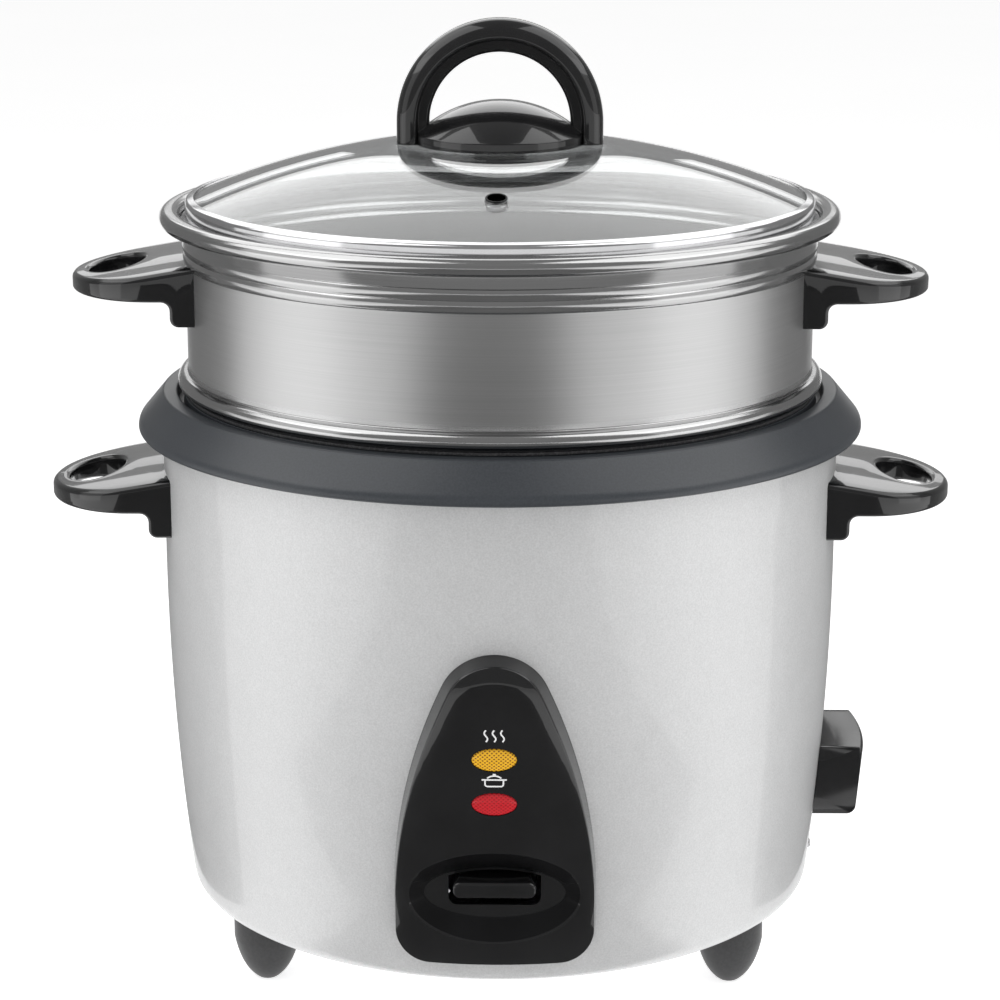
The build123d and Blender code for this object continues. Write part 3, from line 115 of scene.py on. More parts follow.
class Tree:
    """A node tree, with one method that adds any node to it."""

    def __init__(self, tree):
        self.tree = tree

    def feed(self, socket, value):
        if isinstance(value, Value):
            self.tree.links.new(value.socket, socket)
        else:
            socket.default_value = value

    def node(self, kind, settings=None, inputs=None, output=0):
        made = self.tree.nodes.new(kind)
        for setting, value in (settings or {}).items():
            if setting == "stops":
                ramp = made.color_ramp.elements
                while len(ramp) < len(value):
                    ramp.new(1.0)
                for element, (position, shade) in zip(ramp, value):
                    element.position = position
                    element.color = shade
            else:
                setattr(made, setting, value)
        for socket, value in (inputs or {}).items():
            self.feed(made.inputs[socket], value)
        return Value(self, made.outputs[output])


class Finish(Tree):
    """One procedural material. Constants go on the shader, what varies is linked to it."""

    def __init__(self, name, constants):
        self.material = bpy.data.materials.new(name)
        self.material.use_nodes = True
        super().__init__(self.material.node_tree)
        self.shader = self.tree.nodes["Principled BSDF"]
        for socket, value in constants.items():
            self.shader.inputs[socket].default_value = value
        self.place = self.node("ShaderNodeTexCoord", output="Object")

    def set(self, socket, value):
        self.feed(self.shader.inputs[socket], value)

    def noise(self, scale, detail=2.0, place=None):
        inputs = {"Vector": place or self.place, "Scale": scale, "Detail": detail}
        return self.node("ShaderNodeTexNoise", inputs=inputs)

    def stretched(self, scale):
        """Object coordinates with a scale of their own along each axis."""
        return self.node("ShaderNodeMapping", inputs={"Vector": self.place, "Scale": scale})

    def along(self, axis):
        """Place along an axis, in millimetres."""
        return self.node("ShaderNodeSeparateXYZ", inputs={"Vector": self.place}, output=axis) / mm

    def shades(self, factor, stops):
        return self.node("ShaderNodeValToRGB", {"stops": stops}, {"Fac": factor})

    def pass_light(self):
        """Let the light of lamps and walls straight through, which glass that bends it holds back."""
        lamps = self.node("ShaderNodeLightPath", output="Is Shadow Ray")
        walls = self.node("ShaderNodeLightPath", output="Is Diffuse Ray")
        open_way = self.node("ShaderNodeBsdfTransparent")
        shown = Value(self, self.shader.outputs["BSDF"])
        mixed = self.node("ShaderNodeMixShader", inputs={0: lamps.either(walls), 1: shown, 2: open_way})
        self.feed(self.tree.nodes["Material Output"].inputs["Surface"], mixed)

    def bump(self, height, strength, distance):
        inputs = {"Height": height, "Strength": strength, "Distance": distance}
        self.set("Normal", self.node("ShaderNodeBump", inputs=inputs))


def smooth(data, sharp=35.0):
    """Shade a mesh smooth, except along edges that turn more than an angle."""
    data.shade_smooth()
    data.set_sharp_from_angle(angle=radians(sharp))


def piece(name, mesh, sharp=35.0):
    """Object of a finished bmesh."""
    data = bpy.data.meshes.new(name)
    mesh.to_mesh(data)
    mesh.free()
    smooth(data, sharp)
    made = bpy.data.objects.new(name, data)
    bpy.context.scene.collection.objects.link(made)
    return made


floor_half = 12.0
floor_mesh = bmesh.new()
bmesh.ops.create_grid(floor_mesh, x_segments=8, y_segments=8, size=floor_half)
floor = piece("floor", floor_mesh)
floor_finish = Finish("pale floor", {"Roughness": 0.9, "Specular IOR Level": 0.1,
                                     "Emission Color": (1, 1, 1, 1), "Emission Strength": 0.72})
floor_shade = floor_finish.noise(3.0)
floor_finish.set("Base Color", floor_finish.shades(floor_shade, [
    (0.3, (0.78, 0.78, 0.78, 1)), (0.7, (0.80, 0.80, 0.80, 1))]))
floor.data.materials.append(floor_finish.material)

world = bpy.data.worlds.new("studio")
world.use_nodes = True
bpy.context.scene.world = world
world.node_tree.nodes["Background"].inputs["Color"].default_value = (0.9, 0.9, 0.9, 1)
world.node_tree.nodes["Background"].inputs["Strength"].default_value = 0.33


def soft_box(name, place, target, size, brightness, lights=True):
    """Area lamp of a given brightness, aimed at a point. It lights things, or shows only in reflections."""
    width, depth = size
    lamp = bpy.data.lights.new(name, "AREA")
    lamp.shape = "RECTANGLE"
    lamp.size = width
    lamp.size_y = depth
    lamp.energy = brightness * pi * width * depth
    made = bpy.data.objects.new(name, lamp)
    made.location = place
    made.rotation_euler = (Vector(target) - Vector(place)).to_track_quat("-Z", "Y").to_euler()
    made.visible_camera = False
    made.visible_diffuse = lights
    bpy.context.scene.collection.objects.link(made)
    return made


cooker_middle = (0, 0, 0.2)
above_lid = (0, 0, 0.39)
sides = {"left": -1, "right": 1}
for name, side in sides.items():
    soft_box(f"{name} wall box", (side * 0.75, -0.28, 0.40), cooker_middle, (0.50, 0.85), brightness=0.62)
    soft_box(f"{name} top box", (side * 0.70, -0.12, 1.10), cooker_middle, (1.15, 1.00), brightness=1.6)
    soft_box(f"{name} low box", (side * 0.70, 3.30, 0.86), cooker_middle, (0.50, 0.22), brightness=1.0,
             lights=False)
soft_box("back box", (0, 3.28, 2.64), above_lid, (6.5, 3.0), brightness=1.4, lights=False)
front_fill = soft_box("front fill", (0, -1.7, 0.9), cooker_middle, (1.6, 1.2), brightness=1.05)
front_fill.visible_glossy = False

flag_finish = Finish("dark flag", {"Roughness": 1.0, "Specular IOR Level": 0.0})
flag_finish.set("Base Color", flag_finish.shades(flag_finish.noise(4.0), [
    (0.3, (0.21, 0.21, 0.21, 1)), (0.7, (0.23, 0.23, 0.23, 1))]))


def flag(name, corners):
    """Dark card that shows only in reflections, to give the steel its dark bands."""
    mesh = bmesh.new()
    mesh.faces.new([mesh.verts.new(corner) for corner in corners])
    card = piece(name, mesh)
    card.data.materials.append(flag_finish.material)
    card.visible_camera = False
    card.visible_diffuse = False
    card.visible_shadow = False
    card.visible_transmission = False


def lying_flag(name, spots):
    """Dark card just above the floor."""
    flag(name, [(x, y, flag_lift) for x, y in spots])


flag_lift = 0.004
flag_height = 0.6
lying_flag("front flag", [(-0.90, -2.4), (0.75, -2.4), (0.26, -0.15), (0.10, -0.15),
                          (0.10, -0.10), (-0.10, -0.10), (-0.10, -0.15), (-0.28, -0.15)])
for side in sides.values():
    lying_flag("side flag", [(side * 0.14, -0.05), (side * 0.70, 0.10),
                             (side * 0.70, 0.80), (side * 0.14, 0.80)])
    flag("back flag", [(side * 0.60, 0.10, 0), (side * 0.32, 0.55, 0),
                       (side * 0.32, 0.55, flag_height), (side * 0.60, 0.10, flag_height)])


def fit(made, body, slot, finish, *nodes):
    """Give a piece its material and its body, and let it stand for its nodes, which are hidden. The slot is
    not used.
    """
    made.data.materials.clear()
    made.data.materials.append(finish.material)
    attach(made, body)
    if nodes:
        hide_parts(*nodes)


# Feet: three rounded cones of dark matte plastic, each held by a screw through the
# bottom of the drum. They end in a small flat pad.
foot_circle = 95.7
foot_radius = 11.8
foot_pad = 3.5
foot_side = 16.1
foot_bulge = (8.65, 6.1)
foot_steps = 14
drum_bottom = 25.1
foot_places = {"foot_rear": 90, "foot_front_left": 210, "foot_front_right": 330}


def rounded(corners, radii, steps=6):
    """Points of an outline, in two or three dimensions, with each corner rounded by its radius."""
    corners = [Vector(corner) for corner in corners]
    path = []
    for index, (corner, radius) in enumerate(zip(corners, radii)):
        if not radius:
            path.append(corner)
            continue
        back = (corners[index - 1] - corner).normalized()
        ahead = (corners[(index + 1) % len(corners)] - corner).normalized()
        half = back.angle(ahead) / 2
        centre = corner + (back + ahead).normalized() * radius / sin(half)
        first = corner + back * radius / tan(half) - centre
        last = corner + ahead * radius / tan(half) - centre
        swing = pi - 2 * half
        for step in range(steps + 1):
            share = step / steps
            spoke = first * sin((1 - share) * swing) + last * sin(share * swing)
            path.append(centre + spoke / sin(swing))
    return path


def arc(centre, radius, start, end, steps):
    """Points on a circle between two angles in degrees."""
    angles = [radians(start + (end - start) * step / steps) for step in range(steps + 1)]
    return [Vector((centre[0] + radius * cos(a), centre[1] + radius * sin(a))) for a in angles]


def skin(mesh, rings, rings_close=True, points_close=True, caps=False):
    """Add quads between rings of points in millimetres, which may close on themselves or be capped."""
    rows = [[mesh.verts.new(Vector(point) * mm) for point in ring] for ring in rings]
    count = len(rows[0])
    spans = count if points_close else count - 1
    following = rows[1:] + rows[:1] if rings_close else rows[1:]
    for row, after in zip(rows, following):
        for index in range(spans):
            ahead = (index + 1) % count
            mesh.faces.new((row[index], row[ahead], after[ahead], after[index]))
    if caps:
        mesh.faces.new(rows[0])
        mesh.faces.new(rows[-1][::-1])


def close_up(mesh):
    """Merge points that coincide, drop loose edges and turn all faces outwards."""
    bmesh.ops.remove_doubles(mesh, verts=mesh.verts, dist=0.004 * mm)
    loose = [edge for edge in mesh.edges if not edge.link_faces]
    bmesh.ops.delete(mesh, geom=loose, context="EDGES")
    bmesh.ops.recalc_face_normals(mesh, faces=mesh.faces)


def spin(mesh, outline, steps, axis=(0.0, 0.0)):
    """Add a closed outline of radius and height, turned about an upright axis."""
    rings = []
    for step in range(steps):
        turn = 2 * pi * step / steps
        rings.append([(axis[0] + r * cos(turn), axis[1] + r * sin(turn), z) for r, z in outline])
    skin(mesh, rings)


def turned(name, outline, steps, axis=(0.0, 0.0)):
    """Piece made by turning an outline about an upright axis."""
    mesh = bmesh.new()
    spin(mesh, outline, steps, axis)
    close_up(mesh)
    return piece(name, mesh)


foot_finish = Finish("charcoal plastic", {"Roughness": 0.42})
foot_grain = foot_finish.noise(900.0, 3.0)
foot_finish.set("Base Color", foot_finish.shades(foot_grain, [
    (0.35, (0.017, 0.017, 0.018, 1)), (0.65, (0.026, 0.026, 0.027, 1))]))
foot_finish.bump(foot_grain, 0.15, 0.0002)

chord = Vector((foot_radius - foot_pad, foot_side))
for node, angle in foot_places.items():
    side = []
    for step in range(foot_steps + 1):
        share = step / foot_steps
        lift = 4 * share * (1 - share)
        middle = Vector((foot_pad, 0)) + chord / 2
        side.append(Vector((foot_pad, 0)) + chord * share + (Vector(foot_bulge) - middle) * lift)
    outline = [(0, 0), *side, (foot_radius, drum_bottom), (0, drum_bottom)]
    foot_axis = (foot_circle * cos(radians(angle)), foot_circle * sin(radians(angle)))
    foot = turned(f"{node}_moulding", outline, 64, foot_axis)
    fit(foot, "cooker", "charcoal_plastic", foot_finish, node)

# Drum: deep-drawn sheet steel, straight above the shoulder and drawn in below it, sprayed
# with a fine pearl paint. Its edge is turned in under the base, and a window is cut
# behind the control panel.
drum_radius = 120.5
drum_top = 198.0
drum_shoulder = 150.0
drum_taper = 1014.0
drum_corner = 6.0
drum_sheet = 0.8
drum_step = 4.5
drum_steps = 26
drum_floor_hole = 82.0
window_half = 20.0
window_low = 54.0
window_high = 114.0
window_cut = 60.0


def drum_at(height):
    """Radius of the drum's outside at a height."""
    drop = max(0.0, drum_shoulder - height)
    return drum_radius - drum_taper + sqrt(drum_taper**2 - drop**2)


def drum_line(inset):
    """Line of the drum's side from its top to the hole in its floor, inset by a thickness."""
    foot = drum_bottom + inset
    heights = [drum_top] + [drum_shoulder - drum_step * step for step in range(drum_steps)]
    side = [(drum_at(height) - inset, height) for height in heights]
    corners = [side[-1], (drum_at(foot) - inset, foot), (drum_floor_hole, foot)]
    return side[:-1] + rounded(corners, [0, drum_corner - inset, 0])


drum = turned("drum", drum_line(0) + drum_line(drum_sheet)[::-1], 288)
window_size = Vector((2 * window_half, window_cut, window_high - window_low))
window_middle = Vector((0, -drum_radius, (window_high + window_low) / 2))
window_mesh = bmesh.new()
block = bmesh.ops.create_cube(window_mesh, size=1.0)["verts"]
bmesh.ops.scale(window_mesh, vec=window_size * mm, verts=block)
bmesh.ops.translate(window_mesh, vec=window_middle * mm, verts=block)


def settle(made):
    """Keep what an object's modifiers make of it as its plain mesh."""
    seen = made.evaluated_get(bpy.context.evaluated_depsgraph_get())
    data = bpy.data.meshes.new_from_object(seen)
    made.modifiers.clear()
    made.data = data


def cut_out(made, tool):
    """Cut one object's solid out of another and drop the tool."""
    cut = made.modifiers.new("cut", "BOOLEAN")
    cut.object = tool
    cut.operation = "DIFFERENCE"
    cut.solver = "MANIFOLD"
    settle(made)
    bpy.data.objects.remove(tool)


cut_out(drum, piece("window_cutter", window_mesh))

pearl = Finish("pearl paint", {"Metallic": 0.3, "IOR": 1.45, "Coat Weight": 0.5, "Coat Roughness": 0.06})
flakes = pearl.noise(1700.0, 1.0)
clouds = pearl.noise(120.0, 3.0)
pearl.set("Base Color", pearl.shades(flakes * 0.8 + clouds * 0.2, [
    (0.30, (0.55, 0.552, 0.554, 1)), (0.50, (0.60, 0.602, 0.604, 1)),
    (0.70, (0.65, 0.652, 0.654, 1))]))
pearl.set("Roughness", 0.40 + clouds * 0.10)
pearl.bump(flakes, 0.10, 0.0001)
fit(drum, "cooker", "pearl_paint", pearl, "body_shell")

# Base plate: a round steel cover that lies on the drum's turned-in floor, with a ring of vent
# holes. The screws of the feet go through it.


def metal(name, dark, light, roughness, scale=400.0, stretch=(1.0, 1.0, 1.0)):
    """Bare metal whose tone and roughness vary a little with a fine grain."""
    made = Finish(name, {"Metallic": 1.0})
    grain = made.noise(scale, 3.0, made.stretched(stretch))
    made.set("Base Color", made.shades(grain, [(0.3, (*dark, 1)), (0.7, (*light, 1))]))
    made.set("Roughness", roughness + grain * 0.08)
    return made


def dress(finish, *nodes):
    """Give solids that are shown as they are a finish."""
    for node in nodes:
        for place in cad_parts[node].material_slots:
            place.material = finish.material


bright_steel = metal("bright steel", (0.50, 0.50, 0.51), (0.62, 0.62, 0.63), 0.22)
dress(bright_steel, "base_plate", "foot_screws", "earth_rivet")

# Collar: one moulded ring of slate grey plastic with a fine matte grain. It sits on the
# drum's edge, slopes up to a flat crown, and carries the pot's rim on a seat inside.
brim_radius = 129.0
brim_low = 194.9
brim_high = 197.8
crown_radius = 120.0
crown_top = 208.5
mouth_radius = 114.8
moat_floor = 204.0
seat_outer = 112.6
seat_top = 207.8
skirt_inner = 109.6
skirt_outer = 111.6
skirt_low = 188.0
roof_height = 201.5
tongue_inner = 117.0
tongue_outer = 119.4
lip_radius = 120.8
lip_height = 198.15
collar_corners = [
    (brim_radius, brim_low), (brim_radius, brim_high), (crown_radius, crown_top),
    (mouth_radius, crown_top), (mouth_radius, moat_floor), (seat_outer, moat_floor),
    (seat_outer, seat_top), (skirt_inner, seat_top), (skirt_inner, skirt_low),
    (skirt_outer, skirt_low), (skirt_outer, roof_height), (tongue_inner, roof_height),
    (tongue_inner, skirt_low), (tongue_outer, skirt_low), (tongue_outer, lip_height),
    (lip_radius, lip_height), (lip_radius, brim_low)]
collar_rounding = [1.2, 4.35, 1.6, 1.0, 0.4, 0.4, 0.3, 0.3, 0, 0, 0, 0, 0, 0, 0, 0, 0]
collar = turned("collar", rounded(collar_corners, collar_rounding), 288)
slate = Finish("slate plastic", {"Specular IOR Level": 0.5})
slate_grain = slate.noise(1500.0, 2.0)
slate.set("Base Color", slate.shades(slate_grain, [
    (0.35, (0.033, 0.037, 0.043, 1)), (0.65, (0.042, 0.047, 0.054, 1))]))
slate.set("Roughness", 0.30 + slate_grain * 0.1)
slate.bump(slate_grain, 0.12, 0.0001)
fit(collar, "cooker", "slate_plastic", slate, "collar_ring")

# Control panel: an arched moulding of black gloss plastic on the front of the drum, with
# rolled edges, an oval recess for the cook lever and two lens holes. Screws hold it from
# inside the drum.
panel_half = 33.8
panel_low = 34.7
panel_straight = 58.0
panel_corner = 12.0
side_radius = 176.8
arch_round = 19.0
arch_height = 124.7
panel_depth = 8.0
panel_back = 0.15
side_draft = (0.6, 2.4)
draft_heights = (62.0, 122.0)
side_rise = 6.4
roll_width = 9.8
roll_power = 2.2
edge_blend = 0.8
roll_reach = 3.2
roll_rings = 18
recess_half = (29.4, 16.6)
recess_floor_half = (24.1, 9.1)
recess_height = 60.5
recess_floor = -118.25
recess_lip = 1.1
recess_lip_round = 0.9
recess_foot_round = 1.4
recess_foot_share = (0.94, 0.88)
recess_sides = 128
slot_half = (15.4, 6.6)
slot_height = 62.6
slot_corner = 3.0
lens_half = (7.4, 3.9)
lens_gap = 0.15
lens_sides = 64
lens_heights = {"warm": 110.0, "cook": 94.5}
side_centre = Vector((panel_half - side_radius, panel_straight))
arch_centre = Vector((0, arch_height))
side_line = (arch_centre - side_centre).normalized()
corner_centre = Vector((panel_half - panel_corner, panel_low + panel_corner))


def panel_inset(x, z):
    """Distance of a place on the panel from its outline."""
    point = Vector((abs(x), z))
    if point.x > corner_centre.x and point.y < corner_centre.y:
        return panel_corner - (point - corner_centre).length
    if z < panel_straight:
        return min(panel_half - point.x, z - panel_low)
    out = point - side_centre
    if side_line.x * out.y > side_line.y * out.x:
        return arch_round - (point - arch_centre).length
    return min(side_radius - out.length, z - panel_low)


def panel_rise(x, z):
    """Height of the panel above the drum: a side with more draft at the top, a round edge, a rolled face."""
    inset = panel_inset(x, z)
    climb = max(0.0, min((z - draft_heights[0]) / (draft_heights[1] - draft_heights[0]), 1.0))
    draft = side_draft[0] + (side_draft[1] - side_draft[0]) * climb
    side = side_rise * inset / draft
    share = 1 - max(0.0, min(inset - draft, roll_width)) / roll_width
    face = panel_depth - (panel_depth - side_rise) * share**roll_power
    blend = max(0.0, min(0.5 + 0.5 * (face - side) / edge_blend, 1.0))
    return face + (side - face) * blend - edge_blend * blend * (1 - blend)


def on_drum(x, z, rise):
    """Point in front of the drum's wall."""
    return Vector((x, -sqrt((drum_at(z) + rise)**2 - x**2), z))


def on_panel(x, z, proud=0.0):
    return on_drum(x, z, panel_rise(x, z) + proud)


def on_floor(x, z):
    return Vector((x, recess_floor, z))


def line(first, last, steps):
    first, last = Vector(first), Vector(last)
    return [first.lerp(last, step / steps) for step in range(steps + 1)]


def panel_loop(inset):
    """The panel's outline, drawn in by an inset, from the middle of its lower edge."""
    lean = degrees(atan2(side_line.y, side_line.x))
    low = panel_low + inset
    side = panel_half - inset
    right = line((0, low), (corner_centre.x, low), 18)[:-1]
    right += arc(corner_centre, panel_corner - inset, -90, 0, 14)[:-1]
    right += line((side, corner_centre.y), (side, panel_straight), 6)[:-1]
    right += arc(side_centre, side_radius - inset, 0, lean, 64)[:-1]
    right += arc(arch_centre, arch_round - inset, lean, 90, 30)
    return right + [Vector((-point.x, point.y)) for point in right[-2:0:-1]]


def oval(height, half, steps):
    angles = [2 * pi * step / steps for step in range(steps)]
    return [Vector((half[0] * cos(angle), height + half[1] * sin(angle))) for angle in angles]


def within(point, loop):
    """True if a point lies inside a closed outline."""
    inside = False
    for first, last in zip(loop, loop[1:] + loop[:1]):
        if (first.y > point.y) != (last.y > point.y):
            if point.x < first.x + (last.x - first.x) * (point.y - first.y) / (last.y - first.y):
                inside = not inside
    return inside


def filled(mesh, outer, holes, place, spacing):
    """Triangles between an outline and the holes in it, with points inside on an even grid."""
    points = []
    edges = []
    for loop in [outer, *holes]:
        start = len(points)
        points += loop
        edges += [(start + index, start + (index + 1) % len(loop)) for index in range(len(loop))]
    least_gap = 0.7 * spacing
    tree = KDTree(len(points))
    for index, point in enumerate(points):
        tree.insert((*point, 0), index)
    tree.balance()
    low_x = min(point.x for point in outer)
    low_z = min(point.y for point in outer)
    across = int((max(point.x for point in outer) - low_x) / spacing) + 1
    upward = int((max(point.y for point in outer) - low_z) / spacing) + 1
    for row in range(upward):
        for column in range(across):
            point = Vector((low_x + (column + 0.5 * (row % 2)) * spacing, low_z + row * spacing))
            near = tree.find((*point, 0))[2] < least_gap
            if not near and within(point, outer) and not any(within(point, hole) for hole in holes):
                points.append(point)
    corners, _, faces, _, _, _ = delaunay_2d_cdt(points, edges, [], 0, 0.0001)
    made = [mesh.verts.new(place(*corner) * mm) for corner in corners]
    for face in faces:
        middle = sum((corners[index] for index in face), Vector((0, 0))) / len(face)
        if within(middle, outer) and not any(within(middle, hole) for hole in holes):
            mesh.faces.new([made[index] for index in face])


panel_mesh = bmesh.new()
back_loop = panel_loop(0)
edge_rings = [[on_drum(*point, panel_back) for point in back_loop]]
for step in range(1, roll_rings + 1):
    edge_rings.append([on_panel(*point) for point in panel_loop(roll_reach * step / roll_rings)])
skin(panel_mesh, edge_rings, rings_close=False)
lens_loops = []
for height in lens_heights.values():
    lens_loops.append(oval(height, [half + lens_gap for half in lens_half], lens_sides))
brim_loop = oval(recess_height, [half + recess_lip for half in recess_half], recess_sides)
lip_loop = oval(recess_height, recess_half, recess_sides)
foot_loop = oval(recess_height, recess_floor_half, recess_sides)
filled(panel_mesh, panel_loop(roll_reach), [brim_loop, *lens_loops], on_panel, 1.0)
bowl = []
for brim, lip, foot in zip(brim_loop, lip_loop, foot_loop):
    inner_x = foot.x * recess_foot_share[0]
    inner_z = recess_height + (foot.y - recess_height) * recess_foot_share[1]
    bowl.append(rounded([on_panel(*brim), on_panel(*lip), on_floor(*foot), on_floor(inner_x, inner_z)],
                        [0, recess_lip_round, recess_foot_round, 0]))
skin(panel_mesh, bowl, points_close=False)
floor_loop = [Vector((section[-1].x, section[-1].z)) for section in bowl]
slot_x, slot_z = slot_half
slot_loop = rounded([
    (slot_x, slot_height - slot_z), (slot_x, slot_height + slot_z),
    (-slot_x, slot_height + slot_z), (-slot_x, slot_height - slot_z)], [slot_corner] * 4)
filled(panel_mesh, floor_loop, [slot_loop], on_floor, 2.0)
filled(panel_mesh, back_loop, [slot_loop, *lens_loops], lambda x, z: on_drum(x, z, panel_back), 3.0)
for loop, face in [(slot_loop, on_floor)] + [(loop, on_panel) for loop in lens_loops]:
    back_ring = [on_drum(*point, panel_back) for point in loop]
    skin(panel_mesh, [[face(*point) for point in loop], back_ring], rings_close=False)
close_up(panel_mesh)
panel = piece("panel", panel_mesh, 40.0)

gloss_coat = 0.95
lip_share = 0.93
floor_share = 0.95


def gloss(name):
    """Black plastic with a polished skin over a satin body."""
    made = Finish(name, {"IOR": 1.5, "Specular IOR Level": 0.15, "Coat Weight": gloss_coat,
                         "Coat Roughness": 0.03})
    haze = made.noise(60.0, 3.0)
    made.set("Base Color", made.shades(haze, [
        (0.3, (0.0055, 0.0055, 0.0058, 1)), (0.7, (0.0085, 0.0085, 0.0090, 1))]))
    made.set("Roughness", 0.20 + haze * 0.05)
    return made


black = gloss("black gloss plastic")
panel_black = gloss("panel plastic")
out = panel_black.along("X")
up = panel_black.along("Z") - recess_height
lip_reach = (out / recess_half[0])**2 + (up / recess_half[1])**2
floor_reach = (out / recess_floor_half[0])**2 + (up / recess_floor_half[1])**2
polished_skin = (lip_reach > lip_share).either(floor_reach < floor_share)
panel_black.set("Coat Weight", polished_skin * gloss_coat)
fit(panel, "cooker", "black_gloss", panel_black, "control_panel")

# Symbols on the panel: heat waves over the upper lens and a pot over the lower one, printed
# in white ink as lines half a millimetre wide.
ink_width = 0.5
ink_height = 0.05
symbol_lift = 8.4
wave_spread = 2.7
wave_half = 2.0
wave_swing = 0.55
wave_steps = 16
sign_half = 3.0
sign_lip = 0.3
sign_drop = -2.0
sign_corner = 0.8
sign_ear = 1.1
cover_radius = 3.6
cover_drop = -1.9
cover_angles = (50, 130)
stud_half = 0.5
stud_lift = 2.2
ink = Finish("white ink", {"Roughness": 0.5})
ink_grain = ink.noise(2500.0, 2.0)
ink.set("Base Color", ink.shades(ink_grain, [(0.3, (0.72, 0.72, 0.72, 1)), (0.7, (0.82, 0.82, 0.82, 1))]))


def printed(mesh, path):
    """Add a thin line of ink along a path on the panel's face."""
    rings = []
    for index, point in enumerate(path):
        along = path[min(index + 1, len(path) - 1)] - path[max(index - 1, 0)]
        aside = Vector((-along.y, along.x)).normalized() * ink_width / 2
        left, right = point + aside, point - aside
        rings.append([on_panel(*left, -ink_height), on_panel(*left, ink_height),
                      on_panel(*right, ink_height), on_panel(*right, -ink_height)])
    skin(mesh, rings, rings_close=False, caps=True)


symbols = bmesh.new()
wave_middle = lens_heights["warm"] + symbol_lift
for column in (-1, 0, 1):
    wave = []
    for step in range(wave_steps + 1):
        share = step / wave_steps
        wave.append(Vector((column * wave_spread + wave_swing * sin(2 * pi * share),
                            wave_middle + wave_half * (2 * share - 1))))
    printed(symbols, wave)
sign_middle = lens_heights["cook"] + symbol_lift
sign_top = sign_middle + sign_lip
sign_bottom = sign_middle + sign_drop
stud_level = sign_middle + stud_lift
printed(symbols, rounded([
    (-sign_half, sign_top), (-sign_half, sign_bottom), (sign_half, sign_bottom), (sign_half, sign_top)],
    [0, sign_corner, sign_corner, 0]))
printed(symbols, line((-sign_half - sign_ear, sign_top), (sign_half + sign_ear, sign_top), 8))
printed(symbols, arc((0, sign_middle + cover_drop), cover_radius, *cover_angles, 12))
printed(symbols, line((-stud_half, stud_level), (stud_half, stud_level), 2))
close_up(symbols)
signs = piece("panel_symbols", symbols)
fit(signs, "cooker", "lamp_glass", ink)

# Indicator lenses: moulded ovals of clear tinted plastic with a diamond pattern inside,
# pushed into the panel from behind. Their faces are slightly domed.
lens_tail = -122.15
lens_edge_rise = 7.5
lens_dome = 1.3
lens_dome_power = 0.8
lens_steps = 12
lens_shades = {
    "warm": ("amber_lens", (0.16, 0.045, 0.004), (0.78, 0.42, 0.015)),
    "cook": ("red_lens", (0.30, 0.003, 0.006), (0.52, 0.010, 0.018))}
cell_half = (0.75, 0.62)
for name, height in lens_heights.items():
    slot_name, deep, bright = lens_shades[name]
    rings = [[(point.x, lens_tail, point.y) for point in oval(height, lens_half, lens_sides)]]
    for step in range(lens_steps):
        share = cos(pi / 2 * step / lens_steps)
        crest = drum_at(height) + lens_edge_rise + lens_dome * (1 - share**2)**lens_dome_power
        loop = oval(height, [half * share for half in lens_half], lens_sides)
        rings.append([(point.x, -crest, point.y) for point in loop])
    lens_mesh = bmesh.new()
    skin(lens_mesh, rings, rings_close=False, caps=True)
    close_up(lens_mesh)
    lens = piece(f"{name}_lens_moulding", lens_mesh, 50.0)
    tint = Finish(f"{name} lens", {"Roughness": 0.12, "Coat Weight": 0.6, "Coat Roughness": 0.05})
    columns = tint.along("X") * (pi / cell_half[0])
    rows = (tint.along("Z") - height) * (pi / cell_half[1])
    lattice = columns.cosine() * rows.cosine()
    tint.set("Base Color", tint.shades(lattice * 0.5 + 0.5, [(0.12, (*deep, 1)), (0.50, (*bright, 1))]))
    tint.bump(lattice, 0.15, 0.0003)
    fit(lens, "cooker", slot_name, tint, f"{name}_lens")

lamp_clear = Finish("lamp glass", {"Roughness": 0.08, "Transmission Weight": 0.8})
lamp_clear.set("Base Color", lamp_clear.shades(lamp_clear.noise(300.0), [
    (0.3, (0.85, 0.80, 0.75, 1)), (0.7, (0.95, 0.92, 0.88, 1))]))
dress(lamp_clear, "warm_lamp", "cook_lamp")
lamp_card = Finish("lamp board", {"Roughness": 0.6})
lamp_card.set("Base Color", lamp_card.shades(lamp_card.noise(500.0), [
    (0.3, (0.20, 0.12, 0.05, 1)), (0.7, (0.27, 0.17, 0.07, 1))]))
dress(lamp_card, "lamp_board")
dress(bright_steel, "board_screw", "panel_screws")

# Cook lever: a black key in the recess on a leg that goes through the slot to an arm inside.
# One moulding, hinged on a steel pin in a bracket under the heater.


def recut(node, name, sharp=30.0):
    """Copy of a solid with its triangles joined, so that its round edges shade smooth."""
    mesh = bmesh.new()
    mesh.from_mesh(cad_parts[node].data)
    bmesh.ops.remove_doubles(mesh, verts=mesh.verts, dist=0.002 * mm)
    return piece(name, mesh, sharp)


lever = recut("cook_lever", "lever_moulding")
fit(lever, "lever", "black_gloss", black, "cook_lever")
zinc = metal("zinc plate", (0.45, 0.46, 0.47), (0.58, 0.59, 0.60), 0.34)
dress(zinc, "lever_bracket", "pivot_pin", "switch_bracket")
dress(foot_finish, "switch_body", "switch_plunger")

